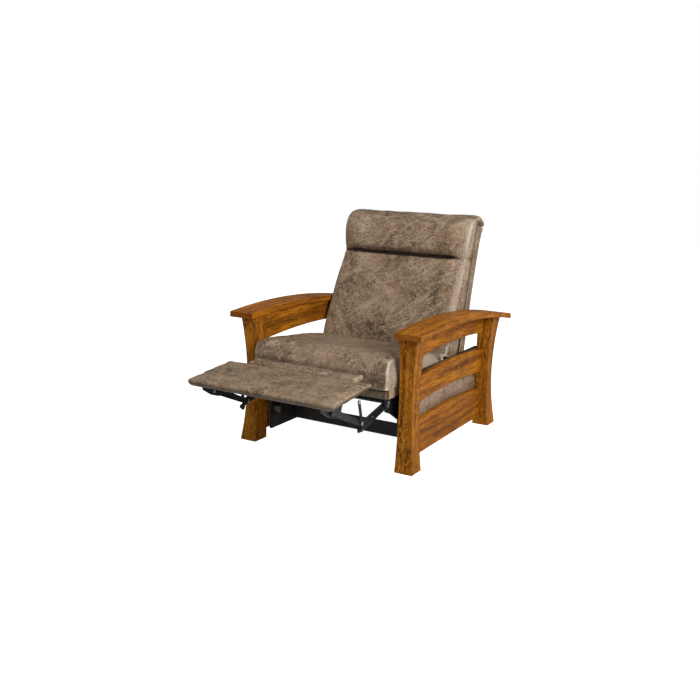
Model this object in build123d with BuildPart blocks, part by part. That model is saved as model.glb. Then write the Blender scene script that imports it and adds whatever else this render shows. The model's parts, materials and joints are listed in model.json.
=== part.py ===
"""Bow-arm recliner: flared posts, arched side rails, leather seat, back and link-carried footrest.

X runs to the sitter's left, Y to the back and Z up.  The origin is on the floor under the middle
of the chair as it stands with the footrest out.  Side profiles are drawn in planes whose first
coordinate is measured backwards from the front face of the front feet.
"""
import os
from math import atan2, cos, degrees, hypot, radians, sin, sqrt, acos

from build123d import *

os.makedirs("parts", exist_ok=True)

# Oak side frames
feet_span = 878.0            # outside to outside of the feet, across the chair
feet_depth = 938.0           # front of the front feet to back of the rear feet
post_width = 82.0
post_depth = 88.0
post_flare = 21.0            # how far the outer faces draw in at the waist
post_top_inset = 2.0
glide_height = 3.0
glide_radius = 16.0

arm_width = 122.0
arm_thickness = 25.0
arm_overhang_side = 33.0
arm_overhang_front = 33.0
arm_overhang_rear = 54.0
arm_tip_height = 602.0       # top of the arm at its front tip
arm_crown_height = 618.0
arm_crown_setback = 280.0    # crown of the bow, behind the front feet
arm_tail_height = 552.0
arm_arris = 1.5

rail_thickness = 22.0
rail_setback = 52.0          # rails lie this far inside the outer faces of the feet
rail_arch = 20.0
top_rail_underside = 467.0
middle_rail_underside = 270.0
middle_rail_height = 113.0
side_panel_underside = 45.0
side_panel_height = 142.0
tenon_length = 25.0
tenon_thickness = 10.0
tenon_shoulder = 12.0
back_panel_setback = 29.0    # from the back of the rear feet to the panel's outer face

# Black base between the oak sides
board_gap = 680.0            # clear width between the side boards
board_thickness = 12.0
board_setback = 106.0
board_rear_reach = 20.0      # the boards run this far past the front of the rear posts
board_underside = 43.0
board_height = 350.0
cover_thickness = 3.0
cover_margin = 8.0
cross_rail_setback = 295.0
rear_cross_rail_inset = 90.0 # front face of the rear rail, ahead of the rear posts
cross_rail_thickness = 25.0
cross_rail_height = 58.0
cross_rail_underside = 52.0
spacer_width = 40.0
spacer_height = 90.0
spacer_underside = 62.0
bolt_height = 105.0
front_bolt_inset = 74.0      # from the boards' front ends
rear_bolt_inset = 130.0      # from the front of the rear posts
bolt_radius = 4.0
bolt_fit = 0.1
bolt_head_radius = 8.0
bolt_head_height = 5.0
bolt_grip = 16.0             # how far a bolt runs into the oak panel

# Glide tracks and shoes
track_setback = 112.0
track_length = 540.0
track_underside = 118.0
track_height = 34.0
track_depth = 12.0
track_wall = 3.0
shoe_length = 60.0
shoe_clearance = 0.3
front_shoe_setback = 122.0
shoe_spacing = 370.0

# Seat frame and cushion
seat_front_setback = -27.0
seat_frame_width = 646.0
seat_frame_length = 557.0
seat_rail_thickness = 28.0
seat_rail_underside = 314.0
seat_rail_height = 40.0
webbing_width = 50.0
webbing_thickness = 2.0
seat_webbing_count = 5
soft_clearance = 0.3
section_shares = (-1, -0.9, -0.55, 0, 0.55, 0.9, 1)
seat_cushion_width = 664.0
seat_cushion_front = -46.0
seat_front_thickness = 131.7 # behind the front roll
seat_rear_thickness = 67.7
seat_cushion_rear = 530.0
seat_front_roll = 46.0
seat_lower_roll = 14.0
seat_rear_roll = 16.0
seat_rear_slant = 26.0
seat_crown = 16.0
seat_end_roll = 12.0         # draw-in at the cushion's two ends

# Seat plate and links, all in side view behind the front feet
plate_thickness = 4.0
layer_gap = 1.0
seat_plate_face = 304.0      # outer face of the seat plate, from the middle of the chair
drive_pivot = (31.0, 291.0)
knee = (-173.0, 248.0)       # pivot between the drive link and the front link
footrest_pivot = (-392.0, 342.0)
closed_pivot = (-31.0, 146.0)
footrest_tilt = 4.8
control_pivot = (27.4, 275.6)
tail_length = 26.0
tail_angle = -118.0
top_link_offset = (20.1, -3.8)
rear_pin_run = 50.0          # second bracket pivot, along the board
rear_pin_drop = 14.0         # and away from the board
prong_tip = (-200.0, 344.0)
link_width = 20.0
slim_link_width = 16.0
pin_radius = 4.0
pin_fit = 0.08
rivet_radius = 6.5
rivet_height = 1.6
stud_radius = 8.0            # large-headed rivet at the tip of the drive link's prong
stud_height = 0.8
tube_radius = 9.0
flange_width = 20.0
flange_thickness = 3.0
closure_samples = 41

# Footrest and flap
footrest_width = 684.0
footrest_front_reach = 88.0  # from the footrest pivot to the front edge
footrest_length = 296.0
bracket_drop = 40.0          # footrest pivot below the board
board_ply = 9.0
pad_height = 17.0
pad_roll = 12.0
pad_crown = 5.0
pad_end_drop = 5.0           # fall of the pads' tops at their two ends
board_inset = 5.0            # of the footrest and flap boards, inside their pads
bracket_end = 20.0
bracket_nose = 70.0          # the bracket's front end, ahead of the footrest pivot
bracket_nose_depth = 13.0
bracket_length = 120.0
bracket_flange = 24.0
flap_width = 510.0
flap_length = 60.0
flap_gap = 14.0
flap_ply = 10.0
flap_pad_height = 20.0
flap_pad_roll = 8.0
flap_crown = 1.5
flap_hinge_inset = 51.0      # hinge line ahead of the footrest's rear edge
flap_hinge_drop = 12.0       # hinge line below the board
strap_width = 25.0
strap_thickness = 3.0
strap_place = 200.0
hinge_radius = 5.0
hinge_pin_radius = 2.5
hinge_leaf = 30.0

# Back, drawn in its own plane: first coordinate backwards, second up along the frame
recline_pivot = (605.0, 330.0)
back_lean = 14.0
back_width = 675.0
back_foot = 46.0
frame_front = 52.0
frame_depth = 32.0
stile_width = 32.0
stile_face = 294.0
stile_foot = 12.0
stile_top = 690.0
back_rail_height = 50.0
back_bottom_rail_foot = 60.0
back_webbing_count = 4
cushion_foot_front = -82.0
cushion_seam_front = 8.0
cushion_bow = 16.0
seam_height = 516.0
seam_gap = 0.6
headrest_belly_front = -16.0
headrest_belly_height = 600.0
headrest_shoulder_front = 9.0
headrest_shoulder_height = 705.0
crest_front = 84.0
crest_height = 744.0
headrest_bulge = 10.0        # rise of the arcs in front of and behind the crest
tail_bulge = 14.0
headrest_width = 678.0
outside_foot_rear = 124.0
outside_waist_rear = 112.0
outside_waist_height = 300.0
outside_neck_rear = 115.0
outside_neck_height = 560.0
outside_flare_rear = 134.0
outside_wall = 8.0
outside_side_wall = 4.0
back_end_roll = 12.0         # draw-in at the back's two sides
pivot_ear = 20.0
bracket_arm_width = 30.0
back_bracket_top = 170.0

# Places that follow from the sizes above
half_span = feet_span / 2
post_inner = half_span - post_width
arm_outer = half_span + arm_overhang_side
arm_inner = arm_outer - arm_width
rail_outer = half_span - rail_setback
rail_inner = rail_outer - rail_thickness
rail_middle = rail_outer - rail_thickness / 2
rear_post_front = feet_depth - post_depth
panel_top = side_panel_underside + side_panel_height
panel_middle = side_panel_underside + side_panel_height / 2
board_length = rear_post_front + board_rear_reach - board_setback
arm_tail = feet_depth + arm_overhang_rear
board_inner = board_gap / 2
board_outer = board_inner + board_thickness
cover_outer = board_outer + cover_thickness

link_pitch = plate_thickness + layer_gap
seat_plate_inner = seat_plate_face - plate_thickness
control_layer = seat_plate_inner - link_pitch
drive_layer = control_layer - link_pitch
front_layer = drive_layer - link_pitch
top_layer = front_layer - link_pitch
bracket_layer = top_layer - link_pitch


def turned(point, angle):
    """A point turned about zero by an angle in degrees."""
    a = radians(angle)
    return (point[0] * cos(a) - point[1] * sin(a), point[0] * sin(a) + point[1] * cos(a))


def moved(point, step):
    return (point[0] + step[0], point[1] + step[1])


def between(start, end):
    return (end[0] - start[0], end[1] - start[1])


def heading(start, end):
    step = between(start, end)
    return degrees(atan2(step[1], step[0]))


def span(start, end):
    return hypot(*between(start, end))


def circle_through(a, b, c):
    """Centre and radius of the circle through three points."""
    d = 2 * (a[0] * (b[1] - c[1]) + b[0] * (c[1] - a[1]) + c[0] * (a[1] - b[1]))
    qa, qb, qc = (p[0] ** 2 + p[1] ** 2 for p in (a, b, c))
    x = (qa * (b[1] - c[1]) + qb * (c[1] - a[1]) + qc * (a[1] - b[1])) / d
    y = (qa * (c[0] - b[0]) + qb * (a[0] - c[0]) + qc * (b[0] - a[0])) / d
    return (x, y), hypot(a[0] - x, a[1] - y)


# The front of the footrest pad is the frontmost point of the chair
pad_base = bracket_drop + board_ply + soft_clearance
pad_top = bracket_drop + board_ply + pad_height
front_roll = (pad_roll - footrest_front_reach, pad_top - pad_roll)
roll_centre = moved(footrest_pivot, turned(front_roll, footrest_tilt))
footrest_front = roll_centre[0] - pad_roll
feet_front = -(footrest_front + arm_tail) / 2


bolt_places = [
    (board_setback + front_bolt_inset, bolt_height),
    (rear_post_front - rear_bolt_inset, bolt_height),
]


def side_plane(x):
    """Side view at a distance x from the middle of the chair."""
    return Plane(origin=(x, feet_front, 0), x_dir=(0, 1, 0), z_dir=(1, 0, 0))


def front_plane(y):
    """Front view, looking backwards, at a distance y behind the front feet."""
    return Plane(origin=(0, feet_front + y, 0), x_dir=(1, 0, 0), z_dir=(0, -1, 0))


footrest_axis = turned((1, 0), footrest_tilt)
back_axis = turned((1, 0), -back_lean)


def footrest_plane(x):
    """Side view in the tilted footrest, from its pivot."""
    origin = (x, feet_front + footrest_pivot[0], footrest_pivot[1])
    return Plane(origin=origin, x_dir=(0, *footrest_axis), z_dir=(1, 0, 0))


def back_plane(x):
    """Side view in the leaning back, from the recline pivot."""
    origin = (x, feet_front + recline_pivot[0], recline_pivot[1])
    return Plane(origin=origin, x_dir=(0, *back_axis), z_dir=(1, 0, 0))


arm_centre, arm_radius = circle_through(
    (-arm_overhang_front, arm_tip_height),
    (arm_crown_setback, arm_crown_height),
    (arm_tail, arm_tail_height),
)


def arm_height(y, drop=0):
    """Height of the bow's top, or of the curve a drop below it."""
    return arm_centre[1] + sqrt((arm_radius - drop) ** 2 - (y - arm_centre[0]) ** 2)


def arm_underside(y):
    return arm_height(y, arm_thickness)


pieces = {}


def keep(name, piece):
    pieces[name] = piece


def keep_pair(name, piece):
    """Keep a piece made on the sitter's left, and its twin on the right."""
    keep(name + "_left", piece)
    with BuildPart() as twin:
        mirror(piece.part, about=Plane.YZ)
    keep(name + "_right", twin)


# Posts: straight towards the rails, hollowed on the two outer faces
def flared_post(front):
    """One post; its flared long face looks forwards or backwards."""
    near = 0 if front else feet_depth
    far = post_depth if front else rear_post_front
    inward = 1 if front else -1
    waist = (glide_height + arm_underside(near)) / 2
    top_near = near + inward * post_top_inset
    top_middle = (top_near + far) / 2
    with BuildPart() as post:
        with BuildSketch(side_plane(post_inner)):
            with BuildLine():
                Line((far, glide_height), (near, glide_height))
                ThreePointArc(
                    (near, glide_height),
                    (near + inward * post_flare, waist),
                    (top_near, arm_underside(top_near)),
                )
                ThreePointArc(
                    (top_near, arm_underside(top_near)),
                    (top_middle, arm_underside(top_middle)),
                    (far, arm_underside(far)),
                )
                Line((far, arm_underside(far)), (far, glide_height))
            make_face()
        extrude(amount=post_width)
        with BuildSketch(front_plane(feet_depth)):
            with BuildLine():
                Polyline(
                    (half_span, glide_height),
                    (post_inner, glide_height),
                    (post_inner, arm_tip_height),
                    (half_span - post_top_inset, arm_tip_height),
                    (half_span - post_top_inset, arm_underside(near)),
                )
                ThreePointArc(
                    (half_span - post_top_inset, arm_underside(near)),
                    (half_span - post_flare, waist),
                    (half_span, glide_height),
                )
            make_face()
        extrude(amount=feet_depth, mode=Mode.INTERSECT)
        for low, high in rail_ends(far):
            with BuildSketch(side_plane(rail_middle - tenon_thickness / 2)):
                with Locations((far - inward * tenon_length / 2, (low + high) / 2)):
                    Rectangle(tenon_length, high - low)
            extrude(amount=tenon_thickness, mode=Mode.SUBTRACT)
        if not front:
            with BuildSketch(front_plane(back_panel_middle + tenon_thickness / 2)):
                with Locations((post_inner + tenon_length / 2, panel_middle)):
                    Rectangle(tenon_length, side_panel_height - 2 * tenon_shoulder)
            extrude(amount=tenon_thickness, mode=Mode.SUBTRACT)
    return post


back_panel_middle = feet_depth - back_panel_setback - rail_thickness / 2


def rail_ends(y):
    """Low and high edge of each tenon where the rails meet a post at y."""
    edges = (
        (top_rail_underside, arm_underside(y)),
        (middle_rail_underside, middle_rail_underside + middle_rail_height),
        (side_panel_underside, side_panel_underside + side_panel_height),
    )
    return [(low + tenon_shoulder, high - tenon_shoulder) for low, high in edges]


keep_pair("front_post", flared_post(True))
keep_pair("rear_post", flared_post(False))


# Rails and lower panels: level ends, arched edges, a tenon at each end
def side_rail(row, low, low_arch, high):
    """A rail between the posts; high is None where its top follows the arm."""
    start, end = post_depth, rear_post_front
    middle = (start + end) / 2
    if high is None:
        top = [(y, arm_underside(y)) for y in (start, middle, end)]
    else:
        top = [(start, high), (middle, high + rail_arch), (end, high)]
    with BuildPart() as rail:
        with BuildSketch(side_plane(rail_inner)):
            with BuildLine():
                if low_arch:
                    ThreePointArc((start, low), (middle, low + rail_arch), (end, low))
                else:
                    Line((start, low), (end, low))
                Line((end, low), top[2])
                ThreePointArc(*reversed(top))
                Line(top[0], (start, low))
            make_face()
        extrude(amount=rail_thickness)
        with BuildSketch(side_plane(rail_middle - tenon_thickness / 2)):
            for y, step in ((start, -1), (end, 1)):
                bottom, head = rail_ends(y)[row]
                with Locations((y + step * tenon_length / 2, (bottom + head) / 2)):
                    Rectangle(tenon_length, head - bottom)
        extrude(amount=tenon_thickness)
    return rail


keep_pair("top_rail", side_rail(0, top_rail_underside, True, None))
middle_rail_top = middle_rail_underside + middle_rail_height
keep_pair("middle_rail", side_rail(1, middle_rail_underside, True, middle_rail_top))

with BuildPart() as side_panel:
    add(side_rail(2, side_panel_underside, False, panel_top).part)
    with BuildSketch(side_plane(rail_inner)):
        with Locations(*bolt_places):
            Circle(bolt_radius + bolt_fit)
    extrude(amount=bolt_grip, mode=Mode.SUBTRACT)
keep_pair("side_panel", side_panel)

with BuildPart() as back_panel:
    with BuildSketch(front_plane(back_panel_middle + rail_thickness / 2)):
        with BuildLine():
            Line((-post_inner, panel_top), (-post_inner, side_panel_underside))
            Line((-post_inner, side_panel_underside), (post_inner, side_panel_underside))
            Line((post_inner, side_panel_underside), (post_inner, panel_top))
            ThreePointArc((post_inner, panel_top), (0, panel_top + rail_arch), (-post_inner, panel_top))
        make_face()
    extrude(amount=rail_thickness)
    with BuildSketch(front_plane(back_panel_middle + tenon_thickness / 2)):
        with Locations((0, panel_middle)):
            Rectangle(2 * (post_inner + tenon_length), side_panel_height - 2 * tenon_shoulder)
    extrude(amount=tenon_thickness)
keep("back_panel", back_panel)

# Arms: one bowed board a side, with its arris eased
with BuildPart() as arm:
    with BuildSketch(side_plane(arm_inner)):
        with BuildLine():
            tip, crown, tail = -arm_overhang_front, arm_crown_setback, arm_tail
            upper = ThreePointArc(
                (tip, arm_height(tip)), (crown, arm_height(crown)), (tail, arm_height(tail))
            )
            lower = ThreePointArc(
                (tip, arm_underside(tip)), (crown, arm_underside(crown)), (tail, arm_underside(tail))
            )
            Line(upper @ 0, lower @ 0)
            Line(upper @ 1, lower @ 1)
        make_face()
    extrude(amount=arm_width)
    chamfer(arm.faces().sort_by(Axis.Z)[-1].edges(), arm_arris)
keep_pair("arm", arm)

with BuildPart() as floor_glides:
    with BuildSketch():
        foot_x = half_span - post_width / 2
        foot_front = feet_front + post_depth / 2
        foot_rear = feet_front + feet_depth - post_depth / 2
        with Locations((0, (foot_front + foot_rear) / 2)):
            with GridLocations(2 * foot_x, foot_rear - foot_front, 2, 2):
                Circle(glide_radius)
    extrude(amount=glide_height)
keep("floor_glides", floor_glides)


# Base: boards with a leather face outwards, cross rails, spacers and bolts
def upright_sheet(inner, thickness, margin, holes=True):
    """A board standing along the side, with the bolt holes through it."""
    low = board_underside + margin
    height = board_height - 2 * margin
    with BuildPart() as sheet:
        with BuildSketch(side_plane(inner)):
            with Locations((board_setback + board_length / 2, low + height / 2)):
                Rectangle(board_length, height)
            with Locations(*bolt_places):
                Circle(bolt_radius + bolt_fit, mode=Mode.SUBTRACT)
        extrude(amount=thickness)
    return sheet


keep_pair("side_board", upright_sheet(board_inner, board_thickness, 0))
keep_pair("side_cover", upright_sheet(board_outer, cover_thickness, cover_margin))


def cross_rail(setback):
    with BuildPart() as rail:
        with BuildSketch(front_plane(setback + cross_rail_thickness)):
            with Locations((0, cross_rail_underside + cross_rail_height / 2)):
                Rectangle(board_gap, cross_rail_height)
        extrude(amount=cross_rail_thickness)
    return rail


keep("front_cross_rail", cross_rail(cross_rail_setback))
keep("rear_cross_rail", cross_rail(rear_post_front - rear_cross_rail_inset))

with BuildPart() as spacers_left:
    with BuildSketch(side_plane(cover_outer)):
        for setback, height in bolt_places:
            with Locations((setback, spacer_underside + spacer_height / 2)):
                Rectangle(spacer_width, spacer_height)
            with Locations((setback, height)):
                Circle(bolt_radius + bolt_fit, mode=Mode.SUBTRACT)
    extrude(amount=rail_inner - cover_outer)
with BuildPart() as spacer_blocks:
    add(spacers_left.part)
    mirror(spacers_left.part, about=Plane.YZ)
keep("spacer_blocks", spacer_blocks)

with BuildPart() as bolts_left:
    with BuildSketch(side_plane(board_inner - bolt_head_height)):
        with Locations(*bolt_places):
            RegularPolygon(bolt_head_radius, 6)
    extrude(amount=bolt_head_height)
    with BuildSketch(side_plane(board_inner)):
        with Locations(*bolt_places):
            Circle(bolt_radius)
    extrude(amount=rail_inner + bolt_grip - board_inner)
with BuildPart() as frame_bolts:
    add(bolts_left.part)
    mirror(bolts_left.part, about=Plane.YZ)
keep("frame_bolts", frame_bolts)

# Glide tracks: channels open towards the middle, and the nylon shoes that run in them
with BuildPart() as glide_track:
    with BuildSketch(side_plane(board_inner - track_depth)):
        with Locations((track_setback + track_length / 2, track_underside + track_height / 2)):
            Rectangle(track_length, track_height)
    extrude(amount=track_depth)
    with BuildSketch(side_plane(board_inner - track_depth)):
        with Locations((track_setback + track_length / 2, track_underside + track_height / 2)):
            Rectangle(track_length, track_height - 2 * track_wall)
    extrude(amount=track_depth - track_wall, mode=Mode.SUBTRACT)
keep_pair("glide_track", glide_track)

shoe_height = track_height - 2 * track_wall - 2 * shoe_clearance
shoe_reach = board_inner - track_wall - shoe_clearance - seat_plate_face
track_middle = track_underside + track_height / 2
front_shoe_middle = front_shoe_setback + shoe_length / 2
shoe_places = [(front_shoe_middle, track_middle), (front_shoe_middle + shoe_spacing, track_middle)]

with BuildPart() as shoes_left:
    with BuildSketch(side_plane(seat_plate_face)):
        with Locations(*shoe_places):
            Rectangle(shoe_length, shoe_height)
    extrude(amount=shoe_reach)
with BuildPart() as glide_shoes:
    add(shoes_left.part)
    mirror(shoes_left.part, about=Plane.YZ)
keep("glide_shoes", glide_shoes)

# Where the links stand when the footrest is shut
drive_length = span(drive_pivot, knee)
front_length = span(knee, footrest_pivot)
reach = span(drive_pivot, closed_pivot)
opening_cosine = (drive_length ** 2 + reach ** 2 - front_length ** 2) / (2 * drive_length * reach)
opening = degrees(acos(opening_cosine))
closed_drive = heading(drive_pivot, closed_pivot) + opening
closed_knee = moved(drive_pivot, turned((drive_length, 0), closed_drive))
drive_turn = (closed_drive - heading(drive_pivot, knee)) % 360
front_turn = (heading(closed_knee, closed_pivot) - heading(knee, footrest_pivot)) % 360
footrest_turn = 90 - footrest_tilt

tail_pin = moved(knee, turned((tail_length, 0), tail_angle))
closed_tail_pin = moved(closed_knee, turned((tail_length, 0), tail_angle + front_turn))
control_turn = (heading(control_pivot, closed_tail_pin) - heading(control_pivot, tail_pin)) % 360

top_root = moved(knee, top_link_offset)
rear_pin = moved(footrest_pivot, turned((rear_pin_run, -rear_pin_drop), footrest_tilt))
closed_top_root = moved(closed_knee, turned(top_link_offset, drive_turn))
closed_rear_pin = moved(
    closed_pivot, turned((rear_pin_run, -rear_pin_drop), footrest_tilt + footrest_turn)
)
top_turn = (heading(closed_top_root, closed_rear_pin) - heading(top_root, rear_pin)) % 360


def linkage_gaps():
    """Largest distance, over the travel, between each open pin and its hole."""
    control_gap, top_gap = 0, 0
    for i in range(closure_samples):
        share = i / (closure_samples - 1)
        here_knee = moved(drive_pivot, turned(between(drive_pivot, knee), drive_turn * share))
        here_foot = moved(here_knee, turned(between(knee, footrest_pivot), front_turn * share))
        here_tail = moved(here_knee, turned(between(knee, tail_pin), front_turn * share))
        control_end = moved(control_pivot, turned(between(control_pivot, tail_pin), control_turn * share))
        here_root = moved(here_knee, turned(top_link_offset, drive_turn * share))
        top_end = moved(here_root, turned(between(top_root, rear_pin), top_turn * share))
        here_rear = moved(here_foot, turned(between(footrest_pivot, rear_pin), footrest_turn * share))
        control_gap = max(control_gap, span(here_tail, control_end))
        top_gap = max(top_gap, span(here_rear, top_end))
    return control_gap, top_gap


control_gap, top_gap = linkage_gaps()
tail_hole_radius = pin_radius + control_gap + layer_gap / 2
rear_hole_radius = pin_radius + top_gap + layer_gap / 2


def bar(start, end, width):
    """A round-ended bar between two points of the current sketch."""
    with Locations(((start[0] + end[0]) / 2, (start[1] + end[1]) / 2)):
        SlotCenterToCenter(span(start, end), width, rotation=heading(start, end))


def holes(radius, *places):
    with Locations(*places):
        Circle(radius, mode=Mode.SUBTRACT)


def pin(inner, outer, place, radius=pin_radius):
    """A round pin across the chair, from one distance to another."""
    with BuildSketch(side_plane(inner)) as end:
        with Locations(place):
            Circle(radius)
    extrude(end.sketch, amount=outer - inner)


hole_radius = pin_radius + pin_fit

# Seat plate: a pressed side plate that carries the links, the back and the shoes
plate_foot = track_underside
shoe_front = front_shoe_setback
shoe_rear = front_shoe_setback + shoe_length
second_front = shoe_front + shoe_spacing
second_rear = shoe_rear + shoe_spacing
plate_waist = track_underside + track_height + spacer_width
plate_front = seat_front_setback + seat_rail_thickness
seat_frame_rear = seat_front_setback + seat_frame_length
with BuildPart() as seat_plate:
    with BuildSketch(side_plane(seat_plate_inner)):
        with BuildLine():
            Polyline(
                (plate_front, seat_rail_underside),
                (plate_front, control_pivot[1] - link_width),
                (drive_pivot[0] + link_width, control_pivot[1] - 2 * link_width),
                (shoe_front, plate_waist),
                (shoe_front, plate_foot),
                (shoe_rear, plate_foot),
                (shoe_rear + link_width, plate_waist),
                (second_front - link_width, plate_waist),
                (second_front, plate_foot),
                (second_rear, plate_foot),
                (second_rear, plate_waist),
                (recline_pivot[0] + pivot_ear, recline_pivot[1] - pivot_ear),
                (recline_pivot[0] - pivot_ear, seat_rail_underside),
                close=True,
            )
        make_face()
        with Locations(recline_pivot):
            Circle(pivot_ear)
        holes(hole_radius, drive_pivot, control_pivot, recline_pivot)
    extrude(amount=plate_thickness)
    with BuildSketch(side_plane(seat_plate_face)):
        with Locations(((plate_front + seat_frame_rear) / 2, seat_rail_underside - flange_thickness / 2)):
            Rectangle(seat_frame_rear - plate_front, flange_thickness)
    extrude(amount=flange_width)
keep_pair("seat_plate", seat_plate)


def seat_rail(start, end, inner, outer):
    """A seat frame rail as a block in side view."""
    with BuildPart() as rail:
        with BuildSketch(side_plane(inner)):
            with Locations(((start + end) / 2, seat_rail_underside + seat_rail_height / 2)):
                Rectangle(end - start, seat_rail_height)
        extrude(amount=outer - inner)
    return rail


half_frame = seat_frame_width / 2
front_rail_back = seat_front_setback + seat_rail_thickness
rear_rail_front = seat_frame_rear - seat_rail_thickness
keep("seat_front_rail", seat_rail(seat_front_setback, front_rail_back, -half_frame, half_frame))
keep("seat_rear_rail", seat_rail(rear_rail_front, seat_frame_rear, -half_frame, half_frame))
side_rail_inner = half_frame - seat_rail_thickness
keep_pair("seat_side_rail", seat_rail(front_rail_back, rear_rail_front, side_rail_inner, half_frame))

seat_frame_top = seat_rail_underside + seat_rail_height
webbing_pitch = (seat_frame_width - 2 * seat_rail_thickness) / seat_webbing_count
with BuildPart() as seat_webbing:
    with BuildSketch(Plane.XY.offset(seat_frame_top)):
        with Locations((0, feet_front + seat_front_setback + seat_frame_length / 2)):
            with GridLocations(webbing_pitch, 0, seat_webbing_count, 1):
                Rectangle(webbing_width, seat_frame_length)
    extrude(amount=webbing_thickness)
keep("seat_webbing", seat_webbing)

cushion_base = seat_frame_top + webbing_thickness + soft_clearance
roll_share = 1 - sin(radians(45))


def soft_body(width, section):
    """A soft form lofted across the chair, fullest in the middle; its ends draw in."""
    with BuildPart() as body:
        for share in section_shares:
            add(section(share * width / 2, share ** 12, 1 - share ** 2 / 2).sketch)
        loft()
    return body


def seat_section(x, ease, fullness):
    """Outline of the seat cushion in side view."""
    draw_in = seat_end_roll * ease
    front = seat_cushion_front + draw_in
    rear = seat_cushion_rear - draw_in / 2
    top_front = cushion_base + seat_front_thickness - draw_in
    top_rear = cushion_base + seat_rear_thickness - draw_in
    foot = rear - seat_rear_slant
    roll = seat_front_roll
    low = seat_lower_roll
    turn = roll * roll_share
    dip = low * roll_share
    rear_turn = seat_rear_roll * roll_share
    top_start, top_end = front + roll, rear - seat_rear_roll
    crown = (top_front + top_rear) / 2 + seat_crown * fullness
    with BuildSketch(side_plane(x)) as section:
        with BuildLine():
            Line((front + low, cushion_base), (foot, cushion_base))
            Line((foot, cushion_base), (rear, top_rear - seat_rear_roll))
            ThreePointArc(
                (rear, top_rear - seat_rear_roll),
                (rear - rear_turn, top_rear - rear_turn),
                (top_end, top_rear),
            )
            ThreePointArc((top_end, top_rear), ((top_start + top_end) / 2, crown), (top_start, top_front))
            ThreePointArc(
                (top_start, top_front), (front + turn, top_front - turn), (front, top_front - roll),
            )
            Line((front, top_front - roll), (front, cushion_base + low))
            ThreePointArc(
                (front, cushion_base + low),
                (front + dip, cushion_base + dip),
                (front + low, cushion_base),
            )
        make_face()
    return section


keep("seat_cushion", soft_body(seat_cushion_width, seat_section))

# Links, from the seat plate inwards: control, drive, front, top and the footrest bracket
with BuildPart() as control_link:
    with BuildSketch(side_plane(control_layer)):
        bar(control_pivot, tail_pin, slim_link_width)
    extrude(amount=plate_thickness)
    pin(control_layer + plate_thickness, seat_plate_face, control_pivot)
    pin(front_layer, control_layer, tail_pin)
keep_pair("control_link", control_link)

with BuildPart() as drive_link:
    with BuildSketch(side_plane(drive_layer)):
        bar(drive_pivot, knee, link_width)
        bar(knee, prong_tip, slim_link_width)
        bar(knee, top_root, link_width)
        holes(hole_radius, knee, top_root)
    extrude(amount=plate_thickness)
    pin(drive_layer + plate_thickness, seat_plate_face + rivet_height, drive_pivot)
    pin(drive_layer - stud_height, drive_layer + plate_thickness + stud_height, prong_tip, stud_radius)
keep_pair("drive_link", drive_link)

with BuildPart() as torque_tube:
    with BuildSketch(side_plane(-drive_layer)):
        with Locations(drive_pivot):
            Circle(tube_radius)
    extrude(amount=2 * drive_layer)
keep("torque_tube", torque_tube)

with BuildPart() as front_link:
    with BuildSketch(side_plane(front_layer)):
        bar(knee, footrest_pivot, link_width)
        bar(knee, tail_pin, link_width)
        with Locations(tail_pin):
            Circle(tail_hole_radius + slim_link_width / 2)
        holes(tail_hole_radius, tail_pin)
    extrude(amount=plate_thickness)
    pin(front_layer + plate_thickness, drive_layer + plate_thickness, knee)
    pin(bracket_layer, front_layer, footrest_pivot)
    pin(bracket_layer - rivet_height, bracket_layer, footrest_pivot, rivet_radius)
keep_pair("front_link", front_link)

with BuildPart() as top_link:
    with BuildSketch(side_plane(top_layer)):
        bar(top_root, rear_pin, slim_link_width)
    extrude(amount=plate_thickness)
    pin(top_layer + plate_thickness, drive_layer + plate_thickness, top_root)
    pin(top_layer - rivet_height, top_layer, top_root, rivet_radius)
    pin(bracket_layer, top_layer, rear_pin)
keep_pair("top_link", top_link)

# Footrest: bracket, board and pad in the tilted plane
board_low = bracket_drop
board_front = -footrest_front_reach
board_rear = board_front + footrest_length
half_footrest = footrest_width / 2
rear_hole = (rear_pin_run, -rear_pin_drop)
plate_low = -rear_pin_drop - rear_hole_radius - slim_link_width / 2
with BuildPart() as footrest_bracket:
    with BuildSketch(footrest_plane(bracket_layer)) as bracket_face:
        with BuildLine():
            Polyline(
                (-bracket_nose, board_low),
                (-bracket_nose, board_low - bracket_nose_depth),
                (-bracket_end, -link_width / 2),
                (rear_pin_run / 2, plate_low),
                (rear_pin_run + bracket_end, plate_low),
                (bracket_length - bracket_end, board_low - flange_thickness),
                (bracket_length - bracket_end, board_low),
                close=True,
            )
        make_face()
        fillet(bracket_face.vertices().group_by(Axis.Y)[0], pin_radius)
        holes(hole_radius, (0, 0))
        holes(rear_hole_radius, rear_hole)
    extrude(amount=plate_thickness)
    with BuildSketch(footrest_plane(bracket_layer - bracket_flange)):
        flange_rear = bracket_length - bracket_end
        with Locations(((flange_rear - bracket_nose) / 2, board_low - flange_thickness / 2)):
            Rectangle(flange_rear + bracket_nose, flange_thickness)
    extrude(amount=bracket_flange)
keep_pair("footrest_bracket", footrest_bracket)

with BuildPart() as footrest_board:
    with BuildSketch(footrest_plane(-half_footrest + pad_roll)):
        with Locations(((board_front + board_rear) / 2, board_low + board_ply / 2)):
            Rectangle(footrest_length - 2 * board_inset, board_ply)
    extrude(amount=footrest_width - 2 * pad_roll)
keep("footrest_board", footrest_board)


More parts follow.
